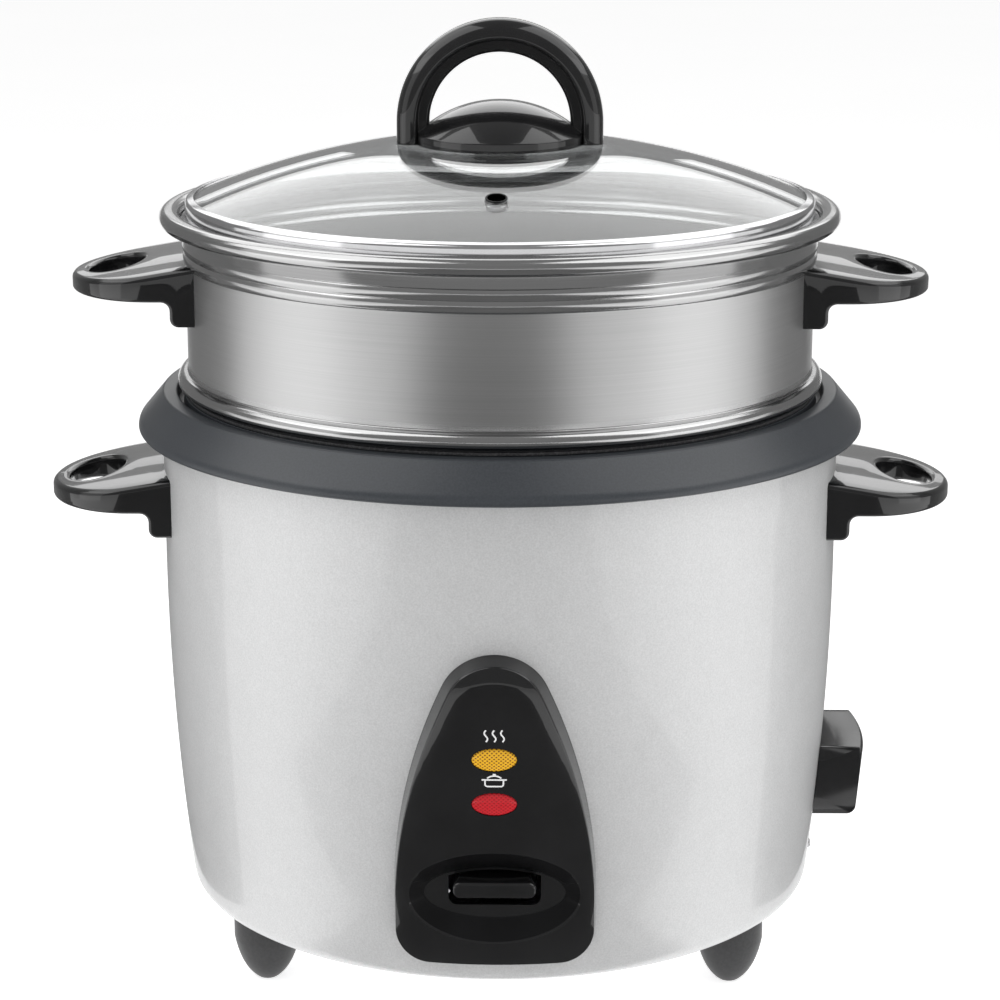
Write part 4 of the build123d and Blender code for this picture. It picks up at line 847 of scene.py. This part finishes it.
# Power inlet: a black moulded box on the right wall, screwed to the drum from inside. Its
# mouth holds three pins for the connector of a supply lead.
inlet_black = Finish("inlet plastic", {"IOR": 1.5})
inlet_grain = inlet_black.noise(1200.0, 2.0)
inlet_black.set("Base Color", inlet_black.shades(inlet_grain, [
    (0.35, (0.006, 0.006, 0.0065, 1)), (0.65, (0.010, 0.010, 0.0105, 1))]))
inlet_black.set("Roughness", 0.16 + inlet_grain * 0.06)
inlet = recut("inlet_housing", "inlet_moulding")
fit(inlet, "cooker", "black_gloss", inlet_black, "inlet_housing")
brass = metal("brass", (0.62, 0.42, 0.16), (0.75, 0.55, 0.24), 0.25)
dress(brass, "inlet_pins", "element_terminals")
dress(bright_steel, "inlet_screws")
sleeve = Finish("wire sleeve", {"Roughness": 0.5})
sleeve.set("Base Color", sleeve.shades(sleeve.noise(200.0), [
    (0.3, (0.50, 0.48, 0.44, 1)), (0.7, (0.62, 0.60, 0.55, 1))]))
dress(sleeve, "supply_wires")

# Side handles: crowned black gloss mouldings with an oval finger hole, each in one with the foot
# that fits the round wall. Two screws from inside hold each one. Drum and steamer have the same.
handle_reach = 40.8
handle_nose = 31.0
handle_half = 37.0
handle_slope = tan(radians(9.7))
handle_crown = 430.0
handle_height = 12.6
handle_sharp = 42.0
edge_top = 2.0
edge_bottom = 1.2
edge_steps = 6
finger_middle = 25.0
finger_half = (9.7, 17.0)
finger_edge = 1.6
foot_drop = 21.3
foot_wall = 2.4
foot_corner = 3.0
foot_hollow = 3.0
root_steps = 5
under_steps = 3
across_steps = 12
nose_steps = 64
wall_bite = 0.1
upright = Vector((0, 1))


def crown_at(spot):
    """Height of a handle's top against its level, at a distance from the wall and from the middle."""
    return -spot.x * handle_slope - spot.y**2 / (2 * handle_crown)


def brow(edge, outward, radius):
    """Rounding between an upright side and the crowned top, from the side up."""
    fall = atan2(outward.x * handle_slope + outward.y * edge.y / handle_crown, 1.0)
    inner = edge - outward * radius
    last = inner + outward * radius * sin(fall)
    centre = crown_at(last) - radius * cos(fall)
    made = []
    for step in range(edge_steps + 1):
        angle = (pi / 2 - fall) * step / edge_steps
        spot = inner + outward * radius * cos(angle)
        made.append(Vector((spot.x, spot.y, centre + radius * sin(angle))))
    return made


def under_edge(edge, outward, low, inward, radius):
    """Rounding between an upright side and the face under it, from the side down."""
    out = Vector((*outward, 0)) * radius
    into = Vector((inward.x, 0, inward.y)) * radius
    centre = Vector((low.x, edge.y, low.y)) + into - out
    angles = [pi / 2 * step / edge_steps for step in range(edge_steps + 1)]
    return [centre + out * cos(angle) - into * sin(angle) for angle in angles]


def foot_line(root):
    """Lower line of a handle's side, from the wall round its foot to the nose, with inward normals."""
    straight = handle_reach - handle_nose
    corner = Vector((foot_wall - foot_corner, foot_corner - foot_drop))
    hollow = Vector((foot_wall + foot_hollow, -handle_height - foot_hollow))
    lower = []
    for step in range(1, root_steps):
        out = root + (corner.x - root) * step / root_steps
        lower.append((Vector((out, -foot_drop)), upright))
    lower += [(corner + spoke * foot_corner, -spoke) for spoke in arc((0, 0), 1.0, -90, 0, edge_steps)]
    lower += [(hollow + spoke * foot_hollow, spoke) for spoke in arc((0, 0), 1.0, 180, 90, edge_steps)]
    for step in range(1, under_steps + 1):
        out = hollow.x + (straight - hollow.x) * step / under_steps
        lower.append((Vector((out, -handle_height)), upright))
    return lower


def handle_stations(root, lower):
    """Places round a handle: edge, way outward, lower point, way inward there, upper and lower rounding."""
    straight = handle_reach - handle_nose
    stations = []
    for step in range(across_steps + 1):
        edge = Vector((root, handle_half * (2 * step / across_steps - 1)))
        stations.append((edge, Vector((-1, 0)), Vector((root, -foot_drop)), upright, 0.0, 0.0))
    flank = []
    for index, (low, inward) in enumerate(lower):
        out = root + (straight - root) * (index + 1) / len(lower)
        flank.append((out, low, inward))
    for out, low, inward in flank:
        stations.append((Vector((out, handle_half)), Vector((0, 1)), low, inward, edge_top, edge_bottom))
    for step in range(1, nose_steps):
        angle = pi / 2 - pi * step / nose_steps
        edge = Vector((straight + handle_nose * cos(angle), handle_half * sin(angle)))
        outward = Vector((cos(angle) / handle_nose, sin(angle) / handle_half)).normalized()
        low = Vector((edge.x, -handle_height))
        stations.append((edge, outward, low, upright, edge_top, edge_bottom))
    for out, low, inward in flank[::-1]:
        stations.append((Vector((out, -handle_half)), Vector((0, -1)), low, inward, edge_top, edge_bottom))
    return stations


def handle_section(edge, outward, low, inward, top, bottom):
    """Line from under a handle's edge, up its side, over the crown and down through the finger hole."""
    turn = atan2(edge.y / finger_half[1], (edge.x - finger_middle) / finger_half[0])
    hole = Vector((finger_middle + finger_half[0] * cos(turn), finger_half[1] * sin(turn)))
    to_hole = -Vector((cos(turn) / finger_half[0], sin(turn) / finger_half[1])).normalized()
    outer = brow(edge, outward, top)
    inner = brow(hole, to_hole, finger_edge)[::-1]
    between = []
    for share in (0.2, 0.4, 0.6, 0.8):
        spot = outer[-1].lerp(inner[0], share)
        between.append(Vector((spot.x, spot.y, crown_at(spot))))
    hole_low = Vector((hole.x, -handle_height))
    section = under_edge(edge, outward, low, inward, bottom)[::-1] + outer + between + inner
    return section + under_edge(hole, to_hole, hole_low, upright, finger_edge)


def side_handle(name, side, wall, level):
    """Handle on a round wall, skinned between its outline and its finger hole and then cut to the wall."""
    root = -handle_half**2 / wall
    lower = foot_line(root)
    sections = [handle_section(*station) for station in handle_stations(root, lower)]

    def placed(out, along, lift):
        return Vector((side * (wall + out), along, level + lift))

    mesh = bmesh.new()
    skin(mesh, [[placed(*point) for point in section] for section in sections], points_close=False)
    rows = [[section[0] for section in sections[:across_steps + 1]]]
    for low, _ in lower:
        reach = handle_half - edge_bottom
        spread = [reach * (2 * step / across_steps - 1) for step in range(across_steps + 1)]
        rows.append([Vector((low.x, along, low.y)) for along in spread])
    skin(mesh, [[placed(*point) for point in row] for row in rows], rings_close=False, points_close=False)
    nose_start = across_steps + 1 + len(lower)
    nose = [section[0].xy for section in sections[nose_start:nose_start + nose_steps - 1]]
    under_loop = [point.xy for point in rows[-1]] + nose
    hole_loop = [section[-1].xy for section in sections]
    filled(mesh, under_loop, [hole_loop], lambda x, y: placed(x, y, -handle_height), 4.0)
    close_up(mesh)
    made = piece(name, mesh, handle_sharp)
    wall_mesh = bmesh.new()
    wall_inside = (wall - wall_bite) * mm
    bmesh.ops.create_cone(wall_mesh, cap_ends=True, segments=256, radius1=wall_inside, radius2=wall_inside,
                          depth=4 * foot_drop * mm, matrix=Matrix.Translation((0, 0, level * mm)))
    cut_out(made, piece("wall_cutter", wall_mesh))
    smooth(made.data, handle_sharp)
    return made


drum_handle_level = 181.0
for name, side in sides.items():
    handle = side_handle(f"drum_handle_{name}", side, drum_radius, drum_handle_level)
    fit(handle, "cooker", "black_gloss", black, f"body_handle_{name}")
dress(bright_steel, "body_handle_screws")

# Heater and liner: a thin steel cup holds the cast aluminium plate on three spacers, with the
# warm band round it. The magnetic thermostat stands in the middle of the plate.
cast = metal("cast aluminium", (0.55, 0.55, 0.55), (0.70, 0.70, 0.70), 0.38, 700.0)
dress(cast, "heat_plate", "sensor_cap")
liner_steel = metal("liner steel", (0.48, 0.48, 0.48), (0.60, 0.60, 0.60), 0.30, 250.0, (1, 1, 8))
dress(liner_steel, "liner", "thermostat_tube", "magnet_rod")
dress(zinc, "plate_spacers", "plate_screws", "sensor_spring", "release_spring")
mica = Finish("mica band", {"Roughness": 0.55})
mica.set("Base Color", mica.shades(mica.noise(80.0, 5.0), [
    (0.3, (0.28, 0.20, 0.12, 1)), (0.7, (0.42, 0.32, 0.20, 1))]))
dress(mica, "warm_band", "thermal_fuse")
ferrite = Finish("ferrite", {"Roughness": 0.6})
ferrite.set("Base Color", ferrite.shades(ferrite.noise(900.0), [
    (0.3, (0.035, 0.033, 0.032, 1)), (0.7, (0.055, 0.052, 0.050, 1))]))
dress(ferrite, "ferrite", "magnet")

# Inner pot: drawn aluminium with a dark speckled non-stick coat and a flat rim that hangs on
# the collar's seat.
pot_radius = 107.8
pot_low = 80.0
pot_corner = 16.0
pot_wall = 1.2
pot_rim = 112.3
pot_rim_low = 207.9
pot_rim_top = 209.1
pot_outline = rounded([
    (0, pot_low), (pot_radius, pot_low), (pot_radius, pot_rim_low), (pot_rim, pot_rim_low),
    (pot_rim, pot_rim_top), (pot_radius - pot_wall, pot_rim_top), (pot_radius - pot_wall, pot_low + pot_wall),
    (0, pot_low + pot_wall)], [0, pot_corner, 0.3, 0.4, 0.4, 0.8, pot_corner - pot_wall, 0])
pot = turned("pot", pot_outline, 192)
coat = Finish("pot coat", {"IOR": 1.5})
coat_speck = coat.noise(1400.0, 2.0)
coat.set("Base Color", coat.shades(coat_speck, [
    (0.45, (0.055, 0.055, 0.058, 1)), (0.72, (0.13, 0.13, 0.135, 1))]))
coat.set("Roughness", 0.32 + coat_speck * 0.2)
fit(pot, "pot", "pot_coat", coat, "inner_pot")

# Steamer tray: one pressed sheet of stainless steel, from a holed floor up a satin wall to a
# rolled hem, with a bead that rests on the pot's rim and two ridges under the neck.
tray_sheet = 0.8
tray_floor = 197.4
tray_inner = 105.0
tray_corner = 4.0
landing = 210.0
bead_reach = 114.7
bead_radius = 3.2
wall_inner = 110.2
wall_top = 254.4
ridge_height = 3.85
ridge_reach = 0.9
groove_reach = 0.2
neck_inner = 110.7
ledge_height = 268.2
ledge_radius = 112.9
hem_top = 273.0
hem_reach = 119.9
hem_radius = 3.0
hem_inner_radius = 2.5
hem_tip = 1.5
hole_radius = 3.2
hole_spacing = 21.0
hole_count = 60
hole_sides = 28
punch_depth = 6.0
polish_low = 205.0
polish_span = 70.0
polish_heights = {215.5: 0.13, 218.3: 0.30, 253.3: 0.30, 255.4: 0.14, 262.05: 0.14, 265.2: 0.12}


def through(first, middle, last, steps=10):
    """Points on the arc from one point to another through a third."""
    first, middle, last = Vector(first), Vector(middle), Vector(last)
    one, two = middle - first, last - first
    cross = 2 * (one.x * two.y - one.y * two.x)
    centre = first + Vector((
        (two.y * one.length_squared - one.y * two.length_squared) / cross,
        (one.x * two.length_squared - two.x * one.length_squared) / cross))
    start, end = [degrees(atan2(*(point - centre).yx)) for point in (first, last)]
    turn = 1 if cross > 0 else -1
    sweep = (end - start) * turn % 360
    return arc(centre, (first - centre).length, start, start + turn * sweep, steps)


def walled(path, thickness):
    """Closed outline of a sheet that lies to the right of a path."""
    outside = []
    for index, point in enumerate(path):
        before = (point - path[index - 1]).normalized() if index else None
        after = (path[index + 1] - point).normalized() if index < len(path) - 1 else before
        before = before or after
        right = Vector((before.y, -before.x)) + Vector((after.y, -after.x))
        outside.append(point + right * 2 * thickness / right.length_squared)
    return path + outside[::-1]


bead_inner = bead_radius - tray_sheet
bead_centre = bead_reach - bead_radius
bead_top = landing + 2 * bead_inner
bead_blend = bead_centre - wall_inner
ridge_foot = wall_top + ridge_height
neck_low = wall_top + 2 * ridge_height
hem_low = hem_top - 2 * hem_radius
tray_path = rounded([
    (0, tray_floor), (tray_inner, tray_floor), (tray_inner, landing), (bead_centre, landing)],
    [0, tray_corner, 0.5, 0])
tray_path += arc((bead_centre, landing + bead_inner), bead_inner, -90, 90, 16)[1:]
tray_path += arc((bead_centre, bead_top + bead_blend), bead_blend, 270, 180, 6)[1:]
tray_path += line((wall_inner, bead_top + bead_blend), (wall_inner, wall_top), 12)[1:]
tray_path += through((wall_inner, wall_top), (wall_inner + ridge_reach, wall_top + ridge_height / 2),
                     (wall_inner + groove_reach, ridge_foot))[1:]
tray_path += through((wall_inner + groove_reach, ridge_foot),
                     (wall_inner + ridge_reach + groove_reach, ridge_foot + ridge_height / 2),
                     (neck_inner, neck_low))[1:]
tray_path += rounded([
    (neck_inner, neck_low), (neck_inner, ledge_height), (ledge_radius, ledge_height), (ledge_radius, hem_top),
    (hem_reach - hem_radius, hem_top)], [0, 0.5, 0.5, hem_inner_radius, 0])[1:]
tray_path += arc((hem_reach - hem_radius, hem_top - hem_radius), hem_radius, 90, -90, 16)[1:]
tray_path += [Vector((ledge_radius + tray_sheet + hem_tip, hem_low))]
tray = turned("tray", walled(tray_path, tray_sheet), 240)


class Making(Tree):
    """A tree of Geometry Nodes with named inputs, which gives geometry in one material."""

    def __init__(self, name, inputs):
        self.group = bpy.data.node_groups.new(name, "GeometryNodeTree")
        for socket, kind in inputs.items():
            self.group.interface.new_socket(socket, in_out="INPUT", socket_type=f"NodeSocket{kind}")
        self.group.interface.new_socket("Finish", in_out="INPUT", socket_type="NodeSocketMaterial")
        self.group.interface.new_socket("Made", in_out="OUTPUT", socket_type="NodeSocketGeometry")
        super().__init__(self.group)
        given = self.tree.nodes.new("NodeGroupInput")
        self.size = {socket.name: Value(self, socket) for socket in given.outputs if socket.name}

    def copies(self, spots, shape, **settings):
        """A shape on every point, as plain geometry."""
        inputs = {"Points": spots, "Instance": shape} | settings
        copies = self.node("GeometryNodeInstanceOnPoints", inputs=inputs)
        return self.node("GeometryNodeRealizeInstances", inputs={"Geometry": copies})

    def give(self, geometry):
        """End the tree with the geometry that it gives."""
        inputs = {"Geometry": geometry, "Material": self.size["Finish"]}
        done = self.tree.nodes.new("NodeGroupOutput")
        self.feed(done.inputs["Made"], self.node("GeometryNodeSetMaterial", inputs=inputs))

    def work(self, made, sizes, finish):
        """Put an object through the tree and keep the result as a plain mesh."""
        given = sizes | {"Finish": finish.material}
        step = made.modifiers.new(self.group.name, "NODES")
        step.node_group = self.group
        for socket in self.group.interface.items_tree:
            if socket.in_out == "INPUT" and socket.name in given:
                step[socket.identifier] = given[socket.name]
        settle(made)
        smooth(made.data)


punching = Making("punched holes", {
    "Sheet": "Geometry", "Hole radius": "Float", "Hole spacing": "Float", "Height": "Float",
    "Hole count": "Int"})
size = punching.size
index = punching.node("GeometryNodeInputIndex")
# Ring n holds 6 n holes, so 3 n (n - 1) holes come before it.
ring = (((index * (4 / 3) + 1.001)**0.5 + 1) / 2).floor()
place_in_ring = index - ring * (ring - 1) * 3
angle = place_in_ring / ring * (pi / 3)
spot = punching.node("ShaderNodeCombineXYZ", inputs={
    "X": angle.cosine() * ring * size["Hole spacing"],
    "Y": angle.sine() * ring * size["Hole spacing"], "Z": size["Height"]})
spots = punching.node("GeometryNodePoints", inputs={"Count": size["Hole count"], "Position": spot})
plug = punching.node("GeometryNodeMeshCylinder", inputs={
    "Vertices": hole_sides, "Radius": size["Hole radius"], "Depth": punch_depth * mm})
punching.give(punching.node("GeometryNodeMeshBoolean", {"operation": "DIFFERENCE"}, {
    "Mesh 1": size["Sheet"], "Mesh 2": punching.copies(spots, plug)}))

stainless = Finish("satin stainless", {"Metallic": 1.0, "Anisotropic": 0.35})
streaks = stainless.noise(1.0, 4.0, stainless.stretched((12.0, 12.0, 2600.0)))
stainless.set("Base Color", stainless.shades(streaks, [
    (0.3, (0.44, 0.44, 0.44, 1)), (0.7, (0.48, 0.48, 0.48, 1))]))
polish_stops = []
for height, grey in polish_heights.items():
    polish_stops.append(((height - polish_low) / polish_span, (grey, grey, grey, 1)))
polish = stainless.shades((stainless.along("Z") - polish_low) / polish_span, polish_stops)
stainless.set("Roughness", polish + streaks * 0.04)
stainless.bump(streaks, 0.012, 0.0001)
punching.work(tray, {"Hole radius": hole_radius * mm, "Hole spacing": hole_spacing * mm,
                     "Height": tray_floor * mm, "Hole count": hole_count}, stainless)
fit(tray, "steamer", "stainless", stainless, "steamer_tray")

steamer_handle_level = 256.2
for name, side in sides.items():
    handle = side_handle(f"tray_handle_{name}", side, wall_inner + tray_sheet, steamer_handle_level)
    fit(handle, "steamer", "black_gloss", black, f"steamer_handle_{name}")

# Screws of the steamer's handles: steel pan heads with a cross recess, put in from inside
# the wall, two a side.
screw_head = 3.6
screw_head_height = 2.2
screw_shank = 2.0
screw_length = 4.4
cross_width = 0.9
cross_length = 4.2
cross_depth = 1.2
screw_count = 4
screw_spread = 16.0
screw_height = 240.3
screw_face = 108.3
screw_outline = rounded([
    (0, -screw_length), (screw_shank, -screw_length), (screw_shank, 0), (screw_head, 0),
    (screw_head, screw_head_height), (0, screw_head_height)], [0, 0.4, 0, 0.2, 1.5, 0])
screw = turned("screw", screw_outline, 40)
cross_mesh = bmesh.new()
for turn in (0, pi / 2):
    bar = bmesh.ops.create_cube(cross_mesh, size=1.0)["verts"]
    bmesh.ops.scale(cross_mesh, vec=Vector((cross_length, cross_width, 2 * cross_depth)) * mm, verts=bar)
    bmesh.ops.rotate(cross_mesh, matrix=Matrix.Rotation(turn, 3, "Z"), verts=bar)
    bmesh.ops.translate(cross_mesh, vec=(0, 0, screw_head_height * mm), verts=bar)
cut_out(screw, piece("cross_cutter", cross_mesh))
fastening = Making("screws in rows", {
    "Spread": "Float", "Height": "Float", "Reach": "Float", "Screw": "Object"})
size = fastening.size
index = fastening.node("GeometryNodeInputIndex")
row = (index / 2).floor()
wall_side = row * 2 - 1
along = (index - row * 2) * 2 - 1
spot = fastening.node("ShaderNodeCombineXYZ", inputs={
    "X": wall_side * size["Reach"], "Y": along * size["Spread"], "Z": size["Height"]})
spots = fastening.node("GeometryNodePoints", inputs={"Count": screw_count, "Position": spot})
lean = fastening.node("ShaderNodeCombineXYZ", inputs={"Y": wall_side * (-pi / 2)})
turn = fastening.node("FunctionNodeEulerToRotation", inputs={"Euler": lean})
one = fastening.node("GeometryNodeObjectInfo", inputs={"Object": size["Screw"]}, output="Geometry")
fastening.give(fastening.copies(spots, one, Rotation=turn))
tray_screws = piece("tray_handle_screws", bmesh.new())
fastening.work(tray_screws, {"Spread": screw_spread * mm, "Height": screw_height * mm,
                             "Reach": screw_face * mm, "Screw": screw}, bright_steel)
bpy.data.objects.remove(screw)
fit(tray_screws, "steamer", "steel", bright_steel, "steamer_handle_screws")

# Lid glass: a shallow dome of clear pressed glass with a hole for the knob's screw and one
# for the vent.
glass_radius = 287.0
glass_flat = 42.0
glass_top = 294.1
flat_blend = 10
glass_edge = 109.6
glass_wall = 4.0
knob_hole = 2.7
vent_place = 78.7
vent_hole = 3.45
dome_centre = glass_top - sqrt(glass_radius**2 - glass_flat**2)


def dome_at(radius, curve=glass_radius):
    """Height of the glass at a distance from its middle, which is flat under the knob."""
    flat = glass_flat * curve / glass_radius
    level = (radius**flat_blend + flat**flat_blend)**(1 / flat_blend)
    return dome_centre + sqrt(curve**2 - level**2)


def dome_line(curve, steps=72):
    radii = [knob_hole + (glass_edge - knob_hole) * step / steps for step in range(steps + 1)]
    return [(radius, dome_at(radius, curve)) for radius in radii]


glass = turned("glass_dome", dome_line(glass_radius) + dome_line(glass_radius - glass_wall)[::-1], 256)
vent_lean = asin(vent_place / glass_radius)
vent_frame = Matrix.Translation(Vector((0, -vent_place, dome_at(vent_place))) * mm)
vent_frame = vent_frame @ Matrix.Rotation(vent_lean, 4, "X")
drill_mesh = bmesh.new()
bmesh.ops.create_cone(drill_mesh, cap_ends=True, segments=48, radius1=vent_hole * mm, radius2=vent_hole * mm,
                      depth=4 * glass_wall * mm, matrix=vent_frame)
cut_out(glass, piece("vent_cutter", drill_mesh))
clear = Finish("clear glass", {"Transmission Weight": 1.0, "IOR": 1.5})
clear_haze = clear.noise(30.0, 2.0)
clear.set("Base Color", clear.shades(clear_haze, [
    (0.3, (0.93, 0.95, 0.95, 1)), (0.7, (0.96, 0.97, 0.97, 1))]))
clear.set("Roughness", clear_haze * 0.02)
clear.pass_light()
fit(glass, "lid", "lid_glass", clear, "lid_glass")

# Lid rim: a polished steel channel rolled round the edge of the glass, with a small flange
# that lies on the steamer's ledge.
rim_radius = 110.8
rim_flange_radius = 112.5
rim_low = 268.3
rim_flange = 0.9
rim_lip = 0.6
rim_wall = 1.8
grip_top = glass_edge - 2.0
grip_low = glass_edge - 3.2
grip_gap = 0.05
glass_under = glass_radius - glass_wall
grip_bottom = dome_at(rim_radius - rim_wall, glass_under) - rim_lip
rim_outline = rounded([
    (rim_flange_radius, rim_low), (rim_flange_radius, rim_low + rim_flange),
    (rim_radius, rim_low + 2 * rim_flange), (rim_radius, dome_at(glass_edge) + rim_lip),
    (grip_top, dome_at(grip_top) + rim_lip), (grip_top, dome_at(grip_top) + grip_gap),
    (glass_edge + grip_gap, dome_at(glass_edge) + grip_gap),
    (glass_edge + grip_gap, dome_at(glass_edge, glass_under) - grip_gap),
    (grip_low, dome_at(grip_low, glass_under) - grip_gap), (grip_low, grip_bottom),
    (rim_radius - rim_wall, grip_bottom), (rim_radius - rim_wall, rim_low)],
    [0.2, 0.4, 1.0, 1.4, 0.25, 0, 0, 0, 0, 0.2, 0.2, 0.2])
rim = turned("glass_rim", rim_outline, 256)
polished = metal("polished steel", (0.66, 0.66, 0.67), (0.74, 0.74, 0.75), 0.07, 120.0, (1, 1, 6))
fit(rim, "lid", "stainless", polished, "lid_rim")

# Steam vent: a small steel eyelet clamped in the glass, square to its surface. Its face above the glass and
# the inside of its bore are painted near-black; the part under the glass keeps a bright steel colour.
vent_bore = 3.05
vent_tube = 3.4
vent_flange = 3.7
vent_flange_height = 0.4
vent_seat = 0.15
vent_outline = rounded([
    (vent_bore, vent_seat + vent_flange_height), (vent_flange, vent_seat + vent_flange_height),
    (vent_flange, vent_seat), (vent_tube, vent_seat), (vent_tube, -glass_wall - vent_seat),
    (vent_flange, -glass_wall - vent_seat), (vent_flange, -glass_wall - vent_seat - vent_flange_height),
    (vent_bore, -glass_wall - vent_seat - vent_flange_height)], [0.2, 0.2, 0.1, 0, 0, 0.1, 0.2, 0.2])
vent = turned("vent_eyelet", vent_outline, 48)
vent.data.transform(vent_frame)
vent_finish = Finish("vent steel painted dark", {"Metallic": 1.0})
depth = vent_finish.along("Y") + vent_place
lift = vent_finish.along("Z") - dome_at(vent_place)
level = lift * cos(vent_lean) - depth * sin(vent_lean)
aside = lift * sin(vent_lean) + depth * cos(vent_lean)
reach = vent_finish.along("X")**2 + aside**2
# Painted near-black: the vent's face above the glass and the inside of its bore.
dark_face_and_bore = (level > 0.0).either(reach < vent_bore * vent_tube)
vent_finish.set("Base Color", vent_finish.shades(dark_face_and_bore, [
    (0.3, (0.66, 0.66, 0.67, 1)), (0.7, (0.012, 0.012, 0.012, 1))]))
vent_finish.set("Roughness", 0.2 + vent_finish.noise(400.0) * 0.1)
fit(vent, "lid", "steel", vent_finish, "steam_vent")

# Lid knob: a black gloss moulding, a domed base with a half-ring grip standing over it, held
# by one screw from under the glass.
knob_base = 29.5
knob_rim = 3.3
knob_rise = 11.9
knob_seat = 0.15
ring_outer = 36.3
ring_band = 28.9
ring_hole = 24.7
ring_height = 301.6
band_half = 7.0
band_round = 5.8
web_half = 4.2
web_round = 1.2
cap_steps = 24
cap_round = 0.8
seat_steps = 8
grip_steps = 96
knob_edge = dome_at(knob_base) + knob_seat + knob_rim
knob_curve = (knob_base**2 + knob_rise**2) / (2 * knob_rise)
cap_line = []
for step in range(cap_steps + 1):
    radius = knob_base * step / cap_steps
    cap_line.append((radius, knob_edge + knob_rise - knob_curve + sqrt(knob_curve**2 - radius**2)))
seat_line = []
for step in range(seat_steps, -1, -1):
    radius = knob_base * step / seat_steps
    seat_line.append((radius, dome_at(radius) + knob_seat))
cap_corner = rounded([cap_line[-2], cap_line[-1], seat_line[0]], [0, cap_round, 0])[1:-1]
knob_mesh = bmesh.new()
spin(knob_mesh, cap_line[:-1] + cap_corner + seat_line, 144)
grip_section = rounded([
    (ring_hole, -web_half), (ring_band, -web_half), (ring_band, -band_half), (ring_outer, -band_half),
    (ring_outer, band_half), (ring_band, band_half), (ring_band, web_half), (ring_hole, web_half)],
    [web_round, 0.5, 0.9, band_round, band_round, 0.9, 0.5, web_round])


def grip_leg(side, share):
    """Section of the grip's leg, at a share of the way from the glass up to the ring's middle."""
    leg = []
    for out, depth in grip_section:
        low = dome_at(hypot(out, depth)) + knob_seat
        leg.append((side * out, depth, low + (ring_height - low) * share))
    return leg


grip = [grip_leg(1, 0.0), grip_leg(1, 0.5)]
for step in range(grip_steps + 1):
    turn = pi * step / grip_steps
    grip.append([(out * cos(turn), depth, ring_height + out * sin(turn)) for out, depth in grip_section])
grip += [grip_leg(-1, 0.5), grip_leg(-1, 0.0)]
skin(knob_mesh, grip, rings_close=False, caps=True)
close_up(knob_mesh)
knob = piece("knob", knob_mesh, 40.0)
fit(knob, "lid", "black_gloss", black, "lid_knob")
dress(bright_steel, "knob_screw", "knob_washer")
rubber = Finish("silicone", {"Roughness": 0.6})
rubber.set("Base Color", rubber.shades(rubber.noise(600.0), [
    (0.3, (0.60, 0.60, 0.58, 1)), (0.7, (0.70, 0.70, 0.68, 1))]))
dress(rubber, "knob_gasket")
